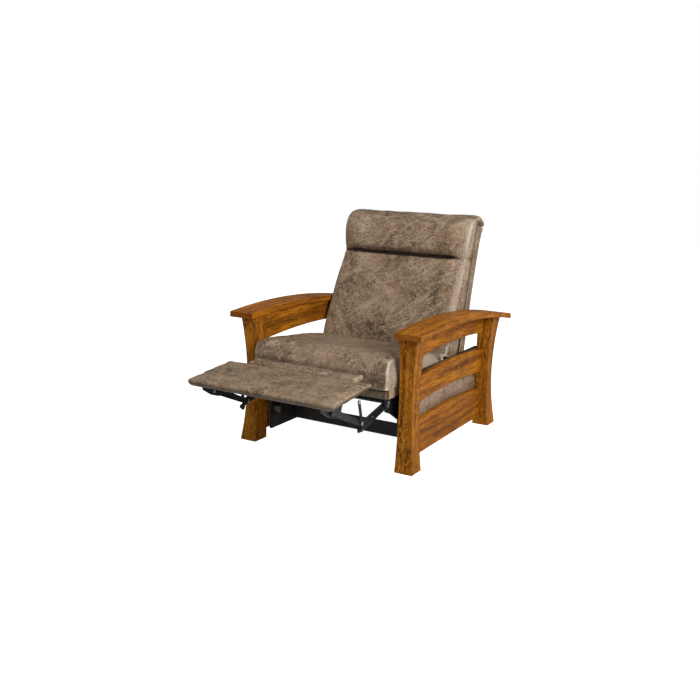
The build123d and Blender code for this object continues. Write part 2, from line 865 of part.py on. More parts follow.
def pad_section(plane, front, rear, low, high, roll, crown):
    """Outline of a thin pad, flat below, rolled at its two edges and crowned above."""
    turn = roll * roll_share
    with BuildSketch(plane) as section:
        with BuildLine():
            Line((front, low), (rear, low))
            Line((rear, low), (rear, high - roll))
            ThreePointArc((rear, high - roll), (rear - turn, high - turn), (rear - roll, high))
            ThreePointArc((rear - roll, high), ((front + rear) / 2, high + crown), (front + roll, high))
            ThreePointArc((front + roll, high), (front + turn, high - turn), (front, high - roll))
            Line((front, high - roll), (front, low))
        make_face()
    return section


def footrest_section(x, ease, fullness):
    inset = board_inset * ease
    return pad_section(
        footrest_plane(x), board_front + inset, board_rear - inset, pad_base,
        pad_top - pad_end_drop * ease, pad_roll * (1 - ease / 2), pad_crown * fullness,
    )


def flap_section(x, ease, fullness):
    return pad_section(
        footrest_plane(x), flap_front, flap_rear, flap_base + flap_ply + soft_clearance,
        pad_top - pad_end_drop * ease, flap_pad_roll * (1 - ease / 2), flap_crown * fullness,
    )


keep("footrest_pad", soft_body(footrest_width, footrest_section))

# Flap: hinged under the board, its pad level with the footrest behind it
flap_hinge = (board_rear - flap_hinge_inset, board_low - flap_hinge_drop)
flap_front = board_rear + flap_gap
flap_rear = flap_front + flap_length
flap_base = pad_top - flap_pad_height - flap_ply
with BuildPart() as strap_left:
    with BuildSketch(footrest_plane(strap_place)):
        with Locations(flap_hinge):
            Circle(hinge_radius)
        corner = (flap_front, flap_hinge[1] - hinge_radius)
        with BuildLine():
            Polyline(
                (flap_hinge[0], corner[1]),
                corner,
                (corner[0], flap_base - strap_thickness),
                (flap_rear - pad_roll, flap_base - strap_thickness),
                (flap_rear - pad_roll, flap_base),
                (corner[0] - strap_thickness, flap_base),
                (corner[0] - strap_thickness, corner[1] + strap_thickness),
                (flap_hinge[0], corner[1] + strap_thickness),
                close=True,
            )
        make_face()
        holes(hinge_pin_radius + pin_fit, flap_hinge)
    extrude(amount=strap_width)
with BuildPart() as flap_straps:
    add(strap_left.part)
    mirror(strap_left.part, about=Plane.YZ)
keep("flap_straps", flap_straps)

with BuildPart() as leaf_left:
    with BuildSketch(footrest_plane(strap_place + strap_width + layer_gap)):
        with Locations(flap_hinge):
            Circle(hinge_radius)
        with Locations((flap_hinge[0], (flap_hinge[1] + board_low) / 2)):
            Rectangle(2 * hinge_radius, board_low - flap_hinge[1])
        with Locations((flap_hinge[0] - hinge_leaf / 2, board_low - flange_thickness / 2)):
            Rectangle(hinge_leaf, flange_thickness)
    extrude(amount=strap_width / 2)
    with BuildSketch(footrest_plane(strap_place)):
        with Locations(flap_hinge):
            Circle(hinge_pin_radius)
    extrude(amount=strap_width + layer_gap)
with BuildPart() as flap_hinges:
    add(leaf_left.part)
    mirror(leaf_left.part, about=Plane.YZ)
keep("flap_hinges", flap_hinges)

with BuildPart() as flap_board:
    with BuildSketch(footrest_plane(-flap_width / 2 + flap_pad_roll)):
        with Locations(((flap_front + flap_rear) / 2, flap_base + flap_ply / 2)):
            Rectangle(flap_length - 2 * board_inset, flap_ply)
    extrude(amount=flap_width - 2 * flap_pad_roll)
keep("flap_board", flap_board)
keep("flap_pad", soft_body(flap_width, flap_section))

# Back frame: brackets on the recline pivot, stiles, rails and webbing
frame_middle = frame_front + frame_depth / 2
back_bracket_inner = stile_face
back_bracket_thickness = plate_thickness
with BuildPart() as back_bracket:
    with BuildSketch(back_plane(back_bracket_inner)):
        bar((0, 0), (frame_middle, pivot_ear), bracket_arm_width)
        bar((frame_middle, pivot_ear), (frame_middle, back_bracket_top), bracket_arm_width)
    extrude(amount=back_bracket_thickness)
    with BuildSketch(back_plane(back_bracket_inner + back_bracket_thickness)):
        Circle(pin_radius)
    extrude(amount=seat_plate_face + rivet_height - back_bracket_inner - back_bracket_thickness)
keep_pair("back_bracket", back_bracket)

with BuildPart() as back_stile:
    with BuildSketch(back_plane(stile_face - stile_width)):
        with Locations((frame_middle, (stile_foot + stile_top) / 2)):
            Rectangle(frame_depth, stile_top - stile_foot)
    extrude(amount=stile_width)
keep_pair("back_stile", back_stile)

stile_gap = 2 * (stile_face - stile_width)


def back_rail(foot):
    with BuildPart() as rail:
        with BuildSketch(back_plane(-stile_gap / 2)):
            with Locations((frame_middle, foot + back_rail_height / 2)):
                Rectangle(frame_depth, back_rail_height)
        extrude(amount=stile_gap)
    return rail


keep("back_bottom_rail", back_rail(back_bottom_rail_foot))
keep("back_top_rail", back_rail(stile_top - back_rail_height))

back_webbing_pitch = (stile_top - back_bottom_rail_foot) / (back_webbing_count + 1)
with BuildPart() as back_webbing:
    with BuildSketch(back_plane(-stile_face)):
        for i in range(back_webbing_count):
            with Locations((
                frame_front - webbing_thickness / 2,
                back_bottom_rail_foot + back_webbing_pitch * (i + 1),
            )):
                Rectangle(webbing_thickness, webbing_width)
    extrude(amount=2 * stile_face)
keep("back_webbing", back_webbing)

# Back upholstery: lower cushion, headrest roll and the outside back
cushion_rear = frame_front - webbing_thickness - soft_clearance


def back_section(x, ease, fullness):
    """Outline of the lower back cushion: a wedge, thick at the foot."""
    foot_front = cushion_foot_front + back_end_roll * ease
    seam_front = cushion_seam_front + back_end_roll * ease
    middle = (foot_front + seam_front) / 2 - cushion_bow * fullness
    with BuildSketch(back_plane(x)) as section:
        with BuildLine():
            Line((foot_front, back_foot), (cushion_rear, back_foot))
            Line((cushion_rear, back_foot), (cushion_rear, seam_height))
            Line((cushion_rear, seam_height), (seam_front, seam_height))
            ThreePointArc(
                (seam_front, seam_height),
                (middle, (back_foot + seam_height) / 2),
                (foot_front, back_foot),
            )
        make_face()
    return section


keep("back_cushion", soft_body(back_width, back_section))


def bulged(start, end, rise):
    """The middle of a chord, pushed out to the left of its direction."""
    chord = span(start, end)
    step = between(start, end)
    middle = ((start[0] + end[0]) / 2, (start[1] + end[1]) / 2)
    return moved(middle, (-step[1] * rise / chord, step[0] * rise / chord))


def headrest_section(x, ease, fullness):
    """Outline of the headrest roll: a full belly in front, wrapped over the top of the frame."""
    draw_in = back_end_roll * ease
    foot = seam_height + seam_gap
    ledge = stile_top + soft_clearance
    seam_front = cushion_seam_front + draw_in
    belly = (headrest_belly_front + draw_in + headrest_bulge * (1 - fullness), headrest_belly_height)
    shoulder = (headrest_shoulder_front + draw_in, headrest_shoulder_height - draw_in)
    crest = (crest_front, crest_height - draw_in)
    tail = outside_flare_rear - draw_in / 2
    with BuildSketch(back_plane(x)) as section:
        with BuildLine():
            Line((cushion_rear, foot), (seam_front, foot))
            ThreePointArc((seam_front, foot), belly, shoulder)
            ThreePointArc(shoulder, bulged(shoulder, crest, headrest_bulge), crest)
            ThreePointArc(crest, bulged(crest, (tail, ledge), tail_bulge), (tail, ledge))
            Line((tail, ledge), (cushion_rear, ledge))
            Line((cushion_rear, ledge), (cushion_rear, foot))
        make_face()
    return section


keep("headrest_cushion", soft_body(headrest_width, headrest_section))


def outside_outline(front, shrink):
    """Outline of the outside back, its rear contour drawn in by a wall."""
    foot = outside_foot_rear - shrink
    waist = outside_waist_rear - shrink
    neck = outside_neck_rear - shrink
    flare = outside_flare_rear - shrink
    flare_height = (outside_neck_height + 3 * stile_top) / 4
    with BuildLine() as outline:
        Line((front, back_foot), (foot, back_foot))
        ThreePointArc(
            (foot, back_foot), (waist, outside_waist_height), (neck, outside_neck_height),
        )
        ThreePointArc(
            (neck, outside_neck_height), ((neck + flare) / 2, flare_height), (flare, stile_top),
        )
        Line((flare, stile_top), (front, stile_top))
        Line((front, stile_top), (front, back_foot))
    make_face(outline.edges())


half_back = back_width / 2
with BuildPart() as outside_back:
    with BuildSketch(back_plane(-half_back)):
        outside_outline(frame_front, 0)
    extrude(amount=back_width)
    with BuildSketch(back_plane(-half_back + outside_side_wall)):
        outside_outline(frame_front, outside_wall)
    extrude(amount=back_width - 2 * outside_side_wall, mode=Mode.SUBTRACT)
keep("outside_back", outside_back)

for name, piece in pieces.items():
    piece.part.label = name
    export_step(piece.part, f"parts/{name}.step")

print("feet_front", feet_front, "footrest_front", footrest_front)
print("turns: drive", drive_turn, "front", front_turn, "control", control_turn, "top", top_turn)
print("open pins: control gap", control_gap, "top gap", top_gap)
print("tail_pin", tail_pin, "rear_pin", rear_pin, "closed knee", closed_knee)
print(len(pieces), "nodes")
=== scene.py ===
# %% [markdown]
# A bow-arm recliner, dressed for its portrait. The solid model already gives every piece its true
# size and place. This notebook finishes the surfaces: oak with its rays and pores, distressed
# leather over foam, painted steel links, and a plain studio around them.

import json
from math import cos, degrees, radians, sin

import bmesh
import bpy
import numpy as np
from mathutils import Matrix, Vector

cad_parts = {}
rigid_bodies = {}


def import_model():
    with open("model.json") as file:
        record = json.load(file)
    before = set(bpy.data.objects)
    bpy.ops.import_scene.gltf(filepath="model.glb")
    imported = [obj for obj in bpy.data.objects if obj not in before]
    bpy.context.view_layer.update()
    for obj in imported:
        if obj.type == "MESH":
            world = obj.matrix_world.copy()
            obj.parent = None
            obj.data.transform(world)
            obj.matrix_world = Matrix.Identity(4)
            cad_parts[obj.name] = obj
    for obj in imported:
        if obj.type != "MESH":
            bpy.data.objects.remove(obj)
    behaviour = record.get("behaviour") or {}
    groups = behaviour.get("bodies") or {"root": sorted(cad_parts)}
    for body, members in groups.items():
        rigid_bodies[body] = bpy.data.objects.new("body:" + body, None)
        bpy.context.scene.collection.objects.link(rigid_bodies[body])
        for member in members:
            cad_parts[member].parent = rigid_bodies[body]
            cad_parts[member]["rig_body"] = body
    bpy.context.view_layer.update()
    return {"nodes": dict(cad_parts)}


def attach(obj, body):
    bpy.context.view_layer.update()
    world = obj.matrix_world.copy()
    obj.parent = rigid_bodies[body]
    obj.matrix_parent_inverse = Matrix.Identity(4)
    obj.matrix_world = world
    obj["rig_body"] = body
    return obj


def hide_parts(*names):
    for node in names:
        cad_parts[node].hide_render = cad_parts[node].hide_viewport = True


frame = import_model()
nodes = frame["nodes"]
scene = bpy.context.scene
scene.view_settings.view_transform = "Standard"

# %% [markdown]
# The camera stands where the photographer stood: to the sitter's left of the chair, a little above
# the arms, looking down by twelve degrees. Its turn, tilt and lens come from lining up the corners of
# the posts, arms and rails. A camera looks along its own -Z, so its matrix is built from three
# directions: right, up, and backwards.

# %% Camera
CAMERA_PLACE = Vector((1.9104, -3.3610, 1.2843))
CAMERA_YAW, CAMERA_PITCH, CAMERA_ROLL = radians(29.8138), radians(12.398), radians(-1.4567)
FOCAL_PIXELS, PHOTO_PIXELS, SENSOR_MM = 876.8845, 700, 36.0

forward = Vector(
    (-sin(CAMERA_YAW) * cos(CAMERA_PITCH), cos(CAMERA_YAW) * cos(CAMERA_PITCH), -sin(CAMERA_PITCH))
)
level_right = Vector((cos(CAMERA_YAW), sin(CAMERA_YAW), 0))
level_down = forward.cross(level_right)
right = cos(CAMERA_ROLL) * level_right + sin(CAMERA_ROLL) * level_down
down = -sin(CAMERA_ROLL) * level_right + cos(CAMERA_ROLL) * level_down

camera_data = bpy.data.cameras.new("portrait_camera")
camera_data.sensor_width = SENSOR_MM
camera_data.lens = FOCAL_PIXELS / PHOTO_PIXELS * SENSOR_MM
camera = bpy.data.objects.new("portrait_camera", camera_data)
scene.collection.objects.link(camera)
turn = Matrix((right, -down, -forward)).transposed()
camera.matrix_world = Matrix.Translation(CAMERA_PLACE) @ turn.to_4x4()
scene.camera = camera
print("lens mm:", round(camera_data.lens, 2))


# %% [markdown]
# Every finish is a small tree of shader nodes. These helpers keep the trees short to write: they add a
# node, feed its sockets, stretch the object's coordinates, map a grey value to colours, mix colours, do
# sums, and set the finish's colour and relief.

# %% Shader helpers
class Finish:
    """A new material with a Principled shader, and short calls for adding nodes to it."""

    def __init__(self, name, roughness=0.5, metallic=0.0):
        self.material = bpy.data.materials.new(name)
        self.material.use_nodes = True
        self.tree = self.material.node_tree
        self.shader = self.tree.nodes["Principled BSDF"]
        self.shader.inputs["Roughness"].default_value = roughness
        self.shader.inputs["Metallic"].default_value = metallic
        self.place = self.add("ShaderNodeTexCoord").outputs["Object"]

    def add(self, kind, settings=None, **sockets):
        node = self.tree.nodes.new(kind)
        for key, value in (settings or {}).items():
            setattr(node, key, value)
        for key, value in sockets.items():
            self.feed(node.inputs[key.replace("_", " ")], value)
        return node

    def feed(self, socket, value):
        if hasattr(value, "is_output"):
            self.tree.links.new(value, socket)
        else:
            socket.default_value = value

    def stretch(self, scale, turn=(0, 0, 0)):
        """The object's coordinates, turned first and then scaled along each axis."""
        mapping = self.add("ShaderNodeMapping", {"vector_type": "TEXTURE"}, Vector=self.place)
        mapping.inputs["Scale"].default_value = [1 / share for share in scale]
        mapping.inputs["Rotation"].default_value = turn
        return mapping.outputs["Vector"]

    def noise(self, vector, scale, detail=4.0, roughness=0.5, distortion=0.0):
        node = self.add(
            "ShaderNodeTexNoise", Vector=vector, Scale=scale, Detail=detail, Roughness=roughness,
            Distortion=distortion,
        )
        return node.outputs["Fac"]

    def ramp(self, value, *stops):
        """Maps a grey value to colours; each stop is a place and a colour or a grey."""
        node = self.add("ShaderNodeValToRGB", Fac=value)
        elements = node.color_ramp.elements
        while len(elements) < len(stops):
            elements.new(0.5)
        for element, (place, colour) in zip(elements, stops):
            element.position = place
            element.color = (*colour, 1) if isinstance(colour, tuple) else (colour, colour, colour, 1)
        return node.outputs["Color"]

    def mix(self, share, first, second, blend="MIX"):
        node = self.add("ShaderNodeMix", {"data_type": "RGBA", "blend_type": blend})
        self.feed(node.inputs[0], share)
        for socket, value in ((node.inputs[6], first), (node.inputs[7], second)):
            self.feed(socket, (*value, 1) if isinstance(value, tuple) else value)
        return node.outputs[2]

    def math(self, operation, first, second=0.0):
        node = self.add("ShaderNodeMath", {"operation": operation})
        self.feed(node.inputs[0], first)
        self.feed(node.inputs[1], second)
        return node.outputs[0]

    def colour(self, value):
        self.feed(self.shader.inputs["Base Color"], (*value, 1) if isinstance(value, tuple) else value)

    def bump(self, height, strength, distance):
        node = self.add("ShaderNodeBump", Height=height, Strength=strength, Distance=distance)
        self.feed(self.shader.inputs["Normal"], node.outputs["Normal"])


# %% [markdown]
# The chair is oak, sawn on the quarter and stained a warm brown. Three layers make it: long pores
# that run with the grain, broad bands where the stain took darker, and the pale rays that cross the
# quartered faces as short flakes. End grain drinks more stain and is darker.

# %% Oak
OAK_DARK, OAK_MIDDLE, OAK_LIGHT = (0.085, 0.024, 0.0020), (0.300, 0.096, 0.0045), (0.440, 0.162, 0.0080)
OAK_RAY = (0.460, 0.200, 0.024)
OAK_BAND_SCALE, OAK_PORE_SCALE, OAK_RAY_SCALE, OAK_STAIN_SCALE = 26, 330, 90, 6
OAK_ROUGHNESS, OAK_SHINE, GRAIN_SHARE, RAY_SHARE = 0.46, 0.05, 0.05, 0.30


def oak(name, along, rays, tone=1.0):
    """Stained quartersawn oak with its grain along one axis: 0 for X, 1 for Y, 2 for Z."""
    finish = Finish(name, roughness=OAK_ROUGHNESS)
    grain_scale, ray_scale = [1.0] * 3, [1.0] * 3
    grain_scale[along], ray_scale[along] = GRAIN_SHARE, RAY_SHARE
    grain = finish.stretch(grain_scale)
    bands = finish.noise(grain, OAK_BAND_SCALE, detail=4, roughness=0.6, distortion=0.7)
    body = finish.ramp(bands, (0.34, OAK_DARK), (0.50, OAK_MIDDLE), (0.66, OAK_LIGHT))
    pores = finish.noise(grain, OAK_PORE_SCALE, detail=2, roughness=0.6)
    pore_mask = finish.ramp(pores, (0.38, 0.9), (0.50, 0.0))
    pored = finish.mix(pore_mask, body, OAK_DARK)
    across_rays = finish.stretch(ray_scale)
    flakes = finish.noise(across_rays, OAK_RAY_SCALE, detail=3, roughness=0.62, distortion=1.8)
    flake_mask = finish.ramp(flakes, (0.52, 0.0), (0.60, rays))
    rayed = finish.mix(flake_mask, pored, OAK_RAY)
    stain = finish.noise(finish.place, OAK_STAIN_SCALE, detail=3)
    stained = finish.mix(finish.ramp(stain, (0.38, 0.0), (0.70, 0.45)), rayed, OAK_DARK)
    facing = finish.add("ShaderNodeSeparateXYZ", Vector=finish.add("ShaderNodeTexCoord").outputs["Normal"])
    end_grain = finish.ramp(finish.math("ABSOLUTE", facing.outputs[along]), (0.80, 0.0), (0.93, 0.62))
    ended = finish.mix(end_grain, stained, OAK_DARK)
    finish.colour(finish.mix(1.0, ended, (tone, tone, tone), "MULTIPLY"))
    finish.bump(finish.math("SUBTRACT", flake_mask, pore_mask), strength=0.14, distance=0.0008)
    finish.shader.inputs["Specular IOR Level"].default_value = OAK_SHINE
    return finish.material


# %% [markdown]
# The grain runs along the post, the rail or the arm, so the recipe is used once for each direction. The
# posts are a little darker and the rails a little lighter, and the arms are the lightest: these tones are
# painted light and shade, for how the light falls on each kind of piece. The arms also have a thin coat
# over the stain, because hands polish them.

# %% Oak for posts, arms and rails
ARM_COAT, ARM_COAT_ROUGHNESS = 0.12, 0.25

# Each tone lightens or darkens the same oak as painted light and shade.
oak_upright = oak("oak_upright", 2, rays=0.75, tone=0.94)
oak_rail = oak("oak_rail", 1, rays=0.35, tone=1.06)
oak_arm = oak("oak_arm", 1, rays=0.25, tone=1.28)
oak_crosswise = oak("oak_crosswise", 0, rays=0.4)
arm_shader = oak_arm.node_tree.nodes["Principled BSDF"]
arm_shader.inputs["Coat Weight"].default_value = ARM_COAT
arm_shader.inputs["Coat Roughness"].default_value = ARM_COAT_ROUGHNESS
print("oak:", [m.name for m in (oak_upright, oak_rail, oak_arm, oak_crosswise)])

# %% [markdown]
# The leather is a pull-up hide: grey-brown wax over a tan skin, which goes pale where it stretches or
# rubs. Fine criss-cross scratches cover it. A scratch is where a stretched noise passes through its
# middle value, which draws thin wandering lines that run mostly one way. Three sets of them cross. The
# table gives each set's turn, its scale, the width of its lines and how strongly they show.

# %% Scratches
SCRATCH_SETS = (
    ((0.0, -0.45, 0.35), 18, 0.020, 0.74),
    ((0.3, 0.55, -0.50), 24, 0.018, 0.66),
    ((-0.4, 1.35, 0.90), 30, 0.018, 0.54),
)
SCRATCH_STRETCH, NOISE_MIDDLE = (0.28, 1.0, 1.0), 0.5


def scratches(finish, turn, scale, width):
    """Fine wandering lines that run mostly one way."""
    stretched = finish.stretch(SCRATCH_STRETCH, turn)
    lines = finish.noise(stretched, scale, detail=4, roughness=0.65, distortion=0.8)
    distance = finish.math("ABSOLUTE", finish.math("SUBTRACT", lines, NOISE_MIDDLE))
    return finish.ramp(distance, (0.0, 1.0), (width, 0.0))


print("sets of scratches:", len(SCRATCH_SETS))

# %% [markdown]
# Under the scratches lie soft clouds, broken streaks and dark specks, and fine cells give the pores.
# Two attributes of the covers make the ridges pale, partly as wear and partly as painted highlight, and
# darken folds, undersides and hollows with painted shade. The leather on the rail under the seat takes a
# darker mix: painted shade, because the cushion above shades it.

# %% Leather
HIDE_DARK, HIDE_MIDDLE, HIDE_PALE = (0.062, 0.031, 0.017), (0.180, 0.110, 0.064), (0.300, 0.208, 0.128)
HIDE_SCRATCH, HIDE_WEAR_AND_HIGHLIGHT, HIDE_PAINTED_SHADE = (0.430, 0.330, 0.225), (0.560, 0.480, 0.380), (0.022, 0.012, 0.008)
CLOUD_SCALE, STREAK_SCALE, SPECK_SCALE, CELL_SCALE = 9, 44, 190, 420.0
HIDE_ROUGHNESS, HIDE_SHINE, STREAK_RELIEF = 0.44, 0.35, 1.8


def leather(name, shade=0.0):
    finish = Finish(name, roughness=HIDE_ROUGHNESS)
    clouds = finish.noise(finish.place, CLOUD_SCALE, detail=5, roughness=0.65, distortion=0.6)
    streaks = finish.noise(finish.place, STREAK_SCALE, detail=8, roughness=0.78, distortion=1.4)
    body = finish.ramp(clouds, (0.33, HIDE_DARK), (0.50, HIDE_MIDDLE), (0.68, HIDE_PALE))
    mottled = finish.mix(finish.ramp(streaks, (0.47, 0.0), (0.64, 0.70)), body, HIDE_PALE)
    darkened = finish.mix(finish.ramp(streaks, (0.32, 0.85), (0.47, 0.0)), mottled, HIDE_DARK)
    speck = finish.noise(finish.place, SPECK_SCALE, detail=4, roughness=0.75)
    wear_and_highlight = finish.mix(finish.ramp(speck, (0.34, 0.70), (0.50, 0.0)), darkened, HIDE_DARK)
    for angles, scale, width, strength in SCRATCH_SETS:
        lines = scratches(finish, angles, scale, width)
        wear_and_highlight = finish.mix(finish.math("MULTIPLY", lines, strength), wear_and_highlight, HIDE_SCRATCH)
    ridge = finish.add("ShaderNodeAttribute", {"attribute_name": "wear_and_highlight"}).outputs["Fac"]
    ridge = finish.math("MULTIPLY", ridge, finish.ramp(streaks, (0.30, 0.45), (0.60, 1.0)))
    painted_shade_mask = finish.add("ShaderNodeAttribute", {"attribute_name": "painted_shade"}).outputs["Fac"]
    # Pale ridges are wear and painted highlight; folds and hollows take painted shade.
    wear_highlight_and_shade = finish.mix(painted_shade_mask, finish.mix(ridge, wear_and_highlight, HIDE_WEAR_AND_HIGHLIGHT), HIDE_PAINTED_SHADE)
    # A shade share above zero darkens the whole hide with painted shade.
    finish.colour(finish.mix(shade, wear_highlight_and_shade, HIDE_PAINTED_SHADE))
    cells = finish.add("ShaderNodeTexVoronoi", Vector=finish.place, Scale=CELL_SCALE)
    height = finish.math("ADD", finish.math("MULTIPLY", streaks, STREAK_RELIEF), cells.outputs["Distance"])
    finish.bump(height, strength=0.25, distance=0.0012)
    finish.shader.inputs["Specular IOR Level"].default_value = HIDE_SHINE
    return finish.material


hide = leather("hide")
# The rail under the seat takes a darker hide: painted shade, because the cushion above shades it.
hide_low = leather("hide_low", shade=0.72)
print("leather:", hide.name, hide_low.name)

# %% [markdown]
# The links are black painted steel, dulled by oil and handling; their rivets are bright zinc. The
# boards under the seat are painted black, and the shoes in the tracks are dark brown nylon. One recipe
# makes all of them and the plain wood inside: a cloudy mix of a dark and a light tone, with a slight
# relief. Each call gives the two tones, the scale of the clouds, the roughness and the share of metal.

# %% Metals, paint, nylon and plain wood
def mottled_finish(name, dark, light, scale, roughness, metallic=0.0):
    finish = Finish(name, roughness=roughness, metallic=metallic)
    cloud = finish.noise(finish.place, scale, detail=5, roughness=0.65)
    finish.colour(finish.ramp(cloud, (0.35, dark), (0.65, light)))
    finish.bump(cloud, strength=0.1, distance=0.0006)
    return finish.material


link_steel = mottled_finish("link_steel", (0.012, 0.013, 0.015), (0.040, 0.042, 0.046), 60, 0.36, 0.6)
zinc = mottled_finish("zinc", (0.45, 0.46, 0.47), (0.70, 0.71, 0.72), 90, 0.30, 0.9)
black_paint = mottled_finish("black_paint", (0.008, 0.007, 0.006), (0.022, 0.018, 0.015), 30, 0.55)
nylon = mottled_finish("nylon", (0.10, 0.075, 0.045), (0.17, 0.13, 0.08), 50, 0.5)
plain_wood = mottled_finish("plain_wood", (0.36, 0.24, 0.13), (0.50, 0.36, 0.21), 14, 0.6)
glide_felt = mottled_finish("glide_felt", (0.02, 0.02, 0.02), (0.05, 0.05, 0.05), 200, 0.9)
print("plain finishes:", [m.name for m in (link_steel, zinc, black_paint, nylon, plain_wood, glide_felt)])

# %% [markdown]
# The cushions rest on straps of woven webbing. Two sets of waves, one across and one along, make the
# weave, in its colour and in its relief.

# %% Webbing
THREAD_SCALE = 180.0


def woven(name):
    finish = Finish(name, roughness=0.8)
    warp = finish.add("ShaderNodeTexWave", {"bands_direction": "X"}, Vector=finish.place, Scale=THREAD_SCALE)
    weft = finish.add("ShaderNodeTexWave", {"bands_direction": "Y"}, Vector=finish.place, Scale=THREAD_SCALE)
    weave = finish.math("MULTIPLY", warp.outputs["Fac"], weft.outputs["Fac"])
    finish.colour(finish.ramp(weave, (0.2, (0.02, 0.02, 0.02)), (0.8, (0.10, 0.10, 0.09))))
    finish.bump(weave, strength=0.3, distance=0.0005)
    return finish.material


webbing = woven("webbing")
print("webbing:", webbing.name)

# %% [markdown]
# Each node of the model takes its finish by name. A longer name that starts with the same word is
# the same kind of piece, left or right.

# %% Finishes for the model's own pieces
FINISHES = {
    "front_post": oak_upright, "rear_post": oak_upright,
    "top_rail": oak_rail, "middle_rail": oak_rail, "side_panel": oak_rail, "arm": oak_arm,
    "back_panel": oak_crosswise,
    "side_board": black_paint, "side_cover": hide, "front_cross_rail": black_paint,
    "rear_cross_rail": black_paint, "spacer_blocks": black_paint, "frame_bolts": zinc,
    "floor_glides": glide_felt, "glide_track": link_steel, "glide_shoes": nylon,
    "seat_plate": link_steel, "seat_front_rail": hide_low, "seat_rear_rail": plain_wood,
    "seat_side_rail": plain_wood, "seat_webbing": webbing, "back_webbing": webbing,
    "drive_link": link_steel, "control_link": link_steel, "front_link": link_steel,
    "top_link": link_steel, "torque_tube": link_steel, "footrest_bracket": link_steel,
    "flap_hinges": link_steel, "flap_straps": link_steel, "back_bracket": link_steel,
    "footrest_board": black_paint, "flap_board": black_paint,
    "back_stile": plain_wood, "back_bottom_rail": plain_wood, "back_top_rail": plain_wood,
}


def finish_of(node):
    return FINISHES.get(node) or FINISHES.get(node.rsplit("_", 1)[0])


for name, piece in nodes.items():
    finish = finish_of(name)
    if finish:
        piece.data.materials.clear()
        piece.data.materials.append(finish)
print("unfinished nodes:", [name for name in nodes if not finish_of(name)])

# %% [markdown]
# The model's meshes come as loose triangles. Before an edge can be eased, the triangles of a copy are
# welded at their corners and its flat faces are merged, so that only real edges are left.

# %% Clean copies
FLAT_ANGLE, WELD = radians(0.2), 1e-5


def welded_copy(node, name):
    """A new object with the node's mesh, its triangles welded and flat faces merged."""
    mesh = nodes[node].data.copy()
    mesh.name = name
    solid = bmesh.new()
    solid.from_mesh(mesh)
    bmesh.ops.remove_doubles(solid, verts=solid.verts, dist=WELD)
    bmesh.ops.dissolve_limit(
        solid, angle_limit=FLAT_ANGLE, verts=solid.verts, edges=solid.edges, use_dissolve_boundaries=False,
    )
    solid.to_mesh(mesh)
    solid.free()
    piece = bpy.data.objects.new(name, mesh)
    scene.collection.objects.link(piece)
    return piece


# %% [markdown]
# Sawn and sanded wood never has a knife edge: the maker eases every arris with a block. A Bevel modifier
# does this to a copy of each oak piece, wherever its surface turns sharply. The copy stands for the node
# and rides on the same body. The rail under the seat is wrapped in leather, which rolls over its edges in
# a wider curve.

# %% Eased edges
SHARP_ANGLE = radians(28)
RAIL_ROLL, RAIL_ROLL_SEGMENTS = 0.009, 4
EASED = {
    "front_post": 0.0022, "rear_post": 0.0022, "arm": 0.0016, "top_rail": 0.0015, "middle_rail": 0.0020,
    "side_panel": 0.0020,
}


def ease(node, width, segments=2):
    """A copy of the node with rounded edges, in the node's place."""
    piece = welded_copy(node, "eased_" + node)
    for face in piece.data.polygons:
        face.use_smooth = True
    piece.data.set_sharp_from_angle(angle=SHARP_ANGLE)
    bevel = piece.modifiers.new("eased_edges", "BEVEL")
    bevel.width, bevel.segments = width, segments
    bevel.limit_method, bevel.angle_limit = "ANGLE", SHARP_ANGLE
    bevel.harden_normals = True
    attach(piece, nodes[node]["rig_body"])
    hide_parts(node)


for node in nodes:
    width = EASED.get(node.rsplit("_", 1)[0])
    if width:
        ease(node, width)
ease("back_panel", EASED["side_panel"])
ease("seat_front_rail", RAIL_ROLL, RAIL_ROLL_SEGMENTS)

# %% [markdown]
# Cushions start from the solids that hold their place, because those already have the right size. The
# first helper copies one or more solids into one piece; the second turns a piece's modifiers into mesh.

# %% Copies for the cushions
def joined_copy(name, *sources):
    """One object with the meshes of several nodes, welded."""
    solid = bmesh.new()
    for source in sources:
        solid.from_mesh(nodes[source].data)
    bmesh.ops.remove_doubles(solid, verts=solid.verts, dist=WELD)
    mesh = bpy.data.meshes.new(name)
    solid.to_mesh(mesh)
    solid.free()
    piece = bpy.data.objects.new(name, mesh)
    scene.collection.objects.link(piece)
    return piece


def settle(piece):
    """Turns the piece's modifiers into plain mesh."""
    depsgraph = bpy.context.evaluated_depsgraph_get()
    settled = bpy.data.meshes.new_from_object(piece.evaluated_get(depsgraph))
    piece.modifiers.clear()
    old, piece.data = piece.data, settled
    bpy.data.meshes.remove(old)


# %% [markdown]
# The points of a cover are worked on as whole arrays, which stays quick with tens of thousands of them.
# Two more helpers say softly where a change applies: a step from one value to another, and a hump.

# %% Points as arrays
def read(collection, key):
    """A three-part value of every item, one row an item."""
    values = np.empty(len(collection) * 3)
    collection.foreach_get(key, values)
    return values.reshape(-1, 3)


def points_of(mesh):
    return read(mesh.vertices, "co")


def place_points(mesh, points):
    mesh.vertices.foreach_set("co", points.ravel())
    mesh.update()


def step_between(value, low, high):
    """A smooth step from 0 at low to 1 at high."""
    share = np.clip((value - low) / (high - low), 0, 1)
    return share * share * (3 - 2 * share)


def hump(value, middle, width):
    """1 at the middle, dying away on both sides over about the width."""
    return np.exp(-(((value - middle) / width) ** 2))


# %% [markdown]
# A cushion's sharp ends become round shoulders when each point is drawn towards the mean of its
# neighbours, half of the way in each round. One freedom value a point says how much it may move: not
# at all where the cover lies on its frame, and fully in the open.

# %% Smoothing by neighbours
PULL = 0.5


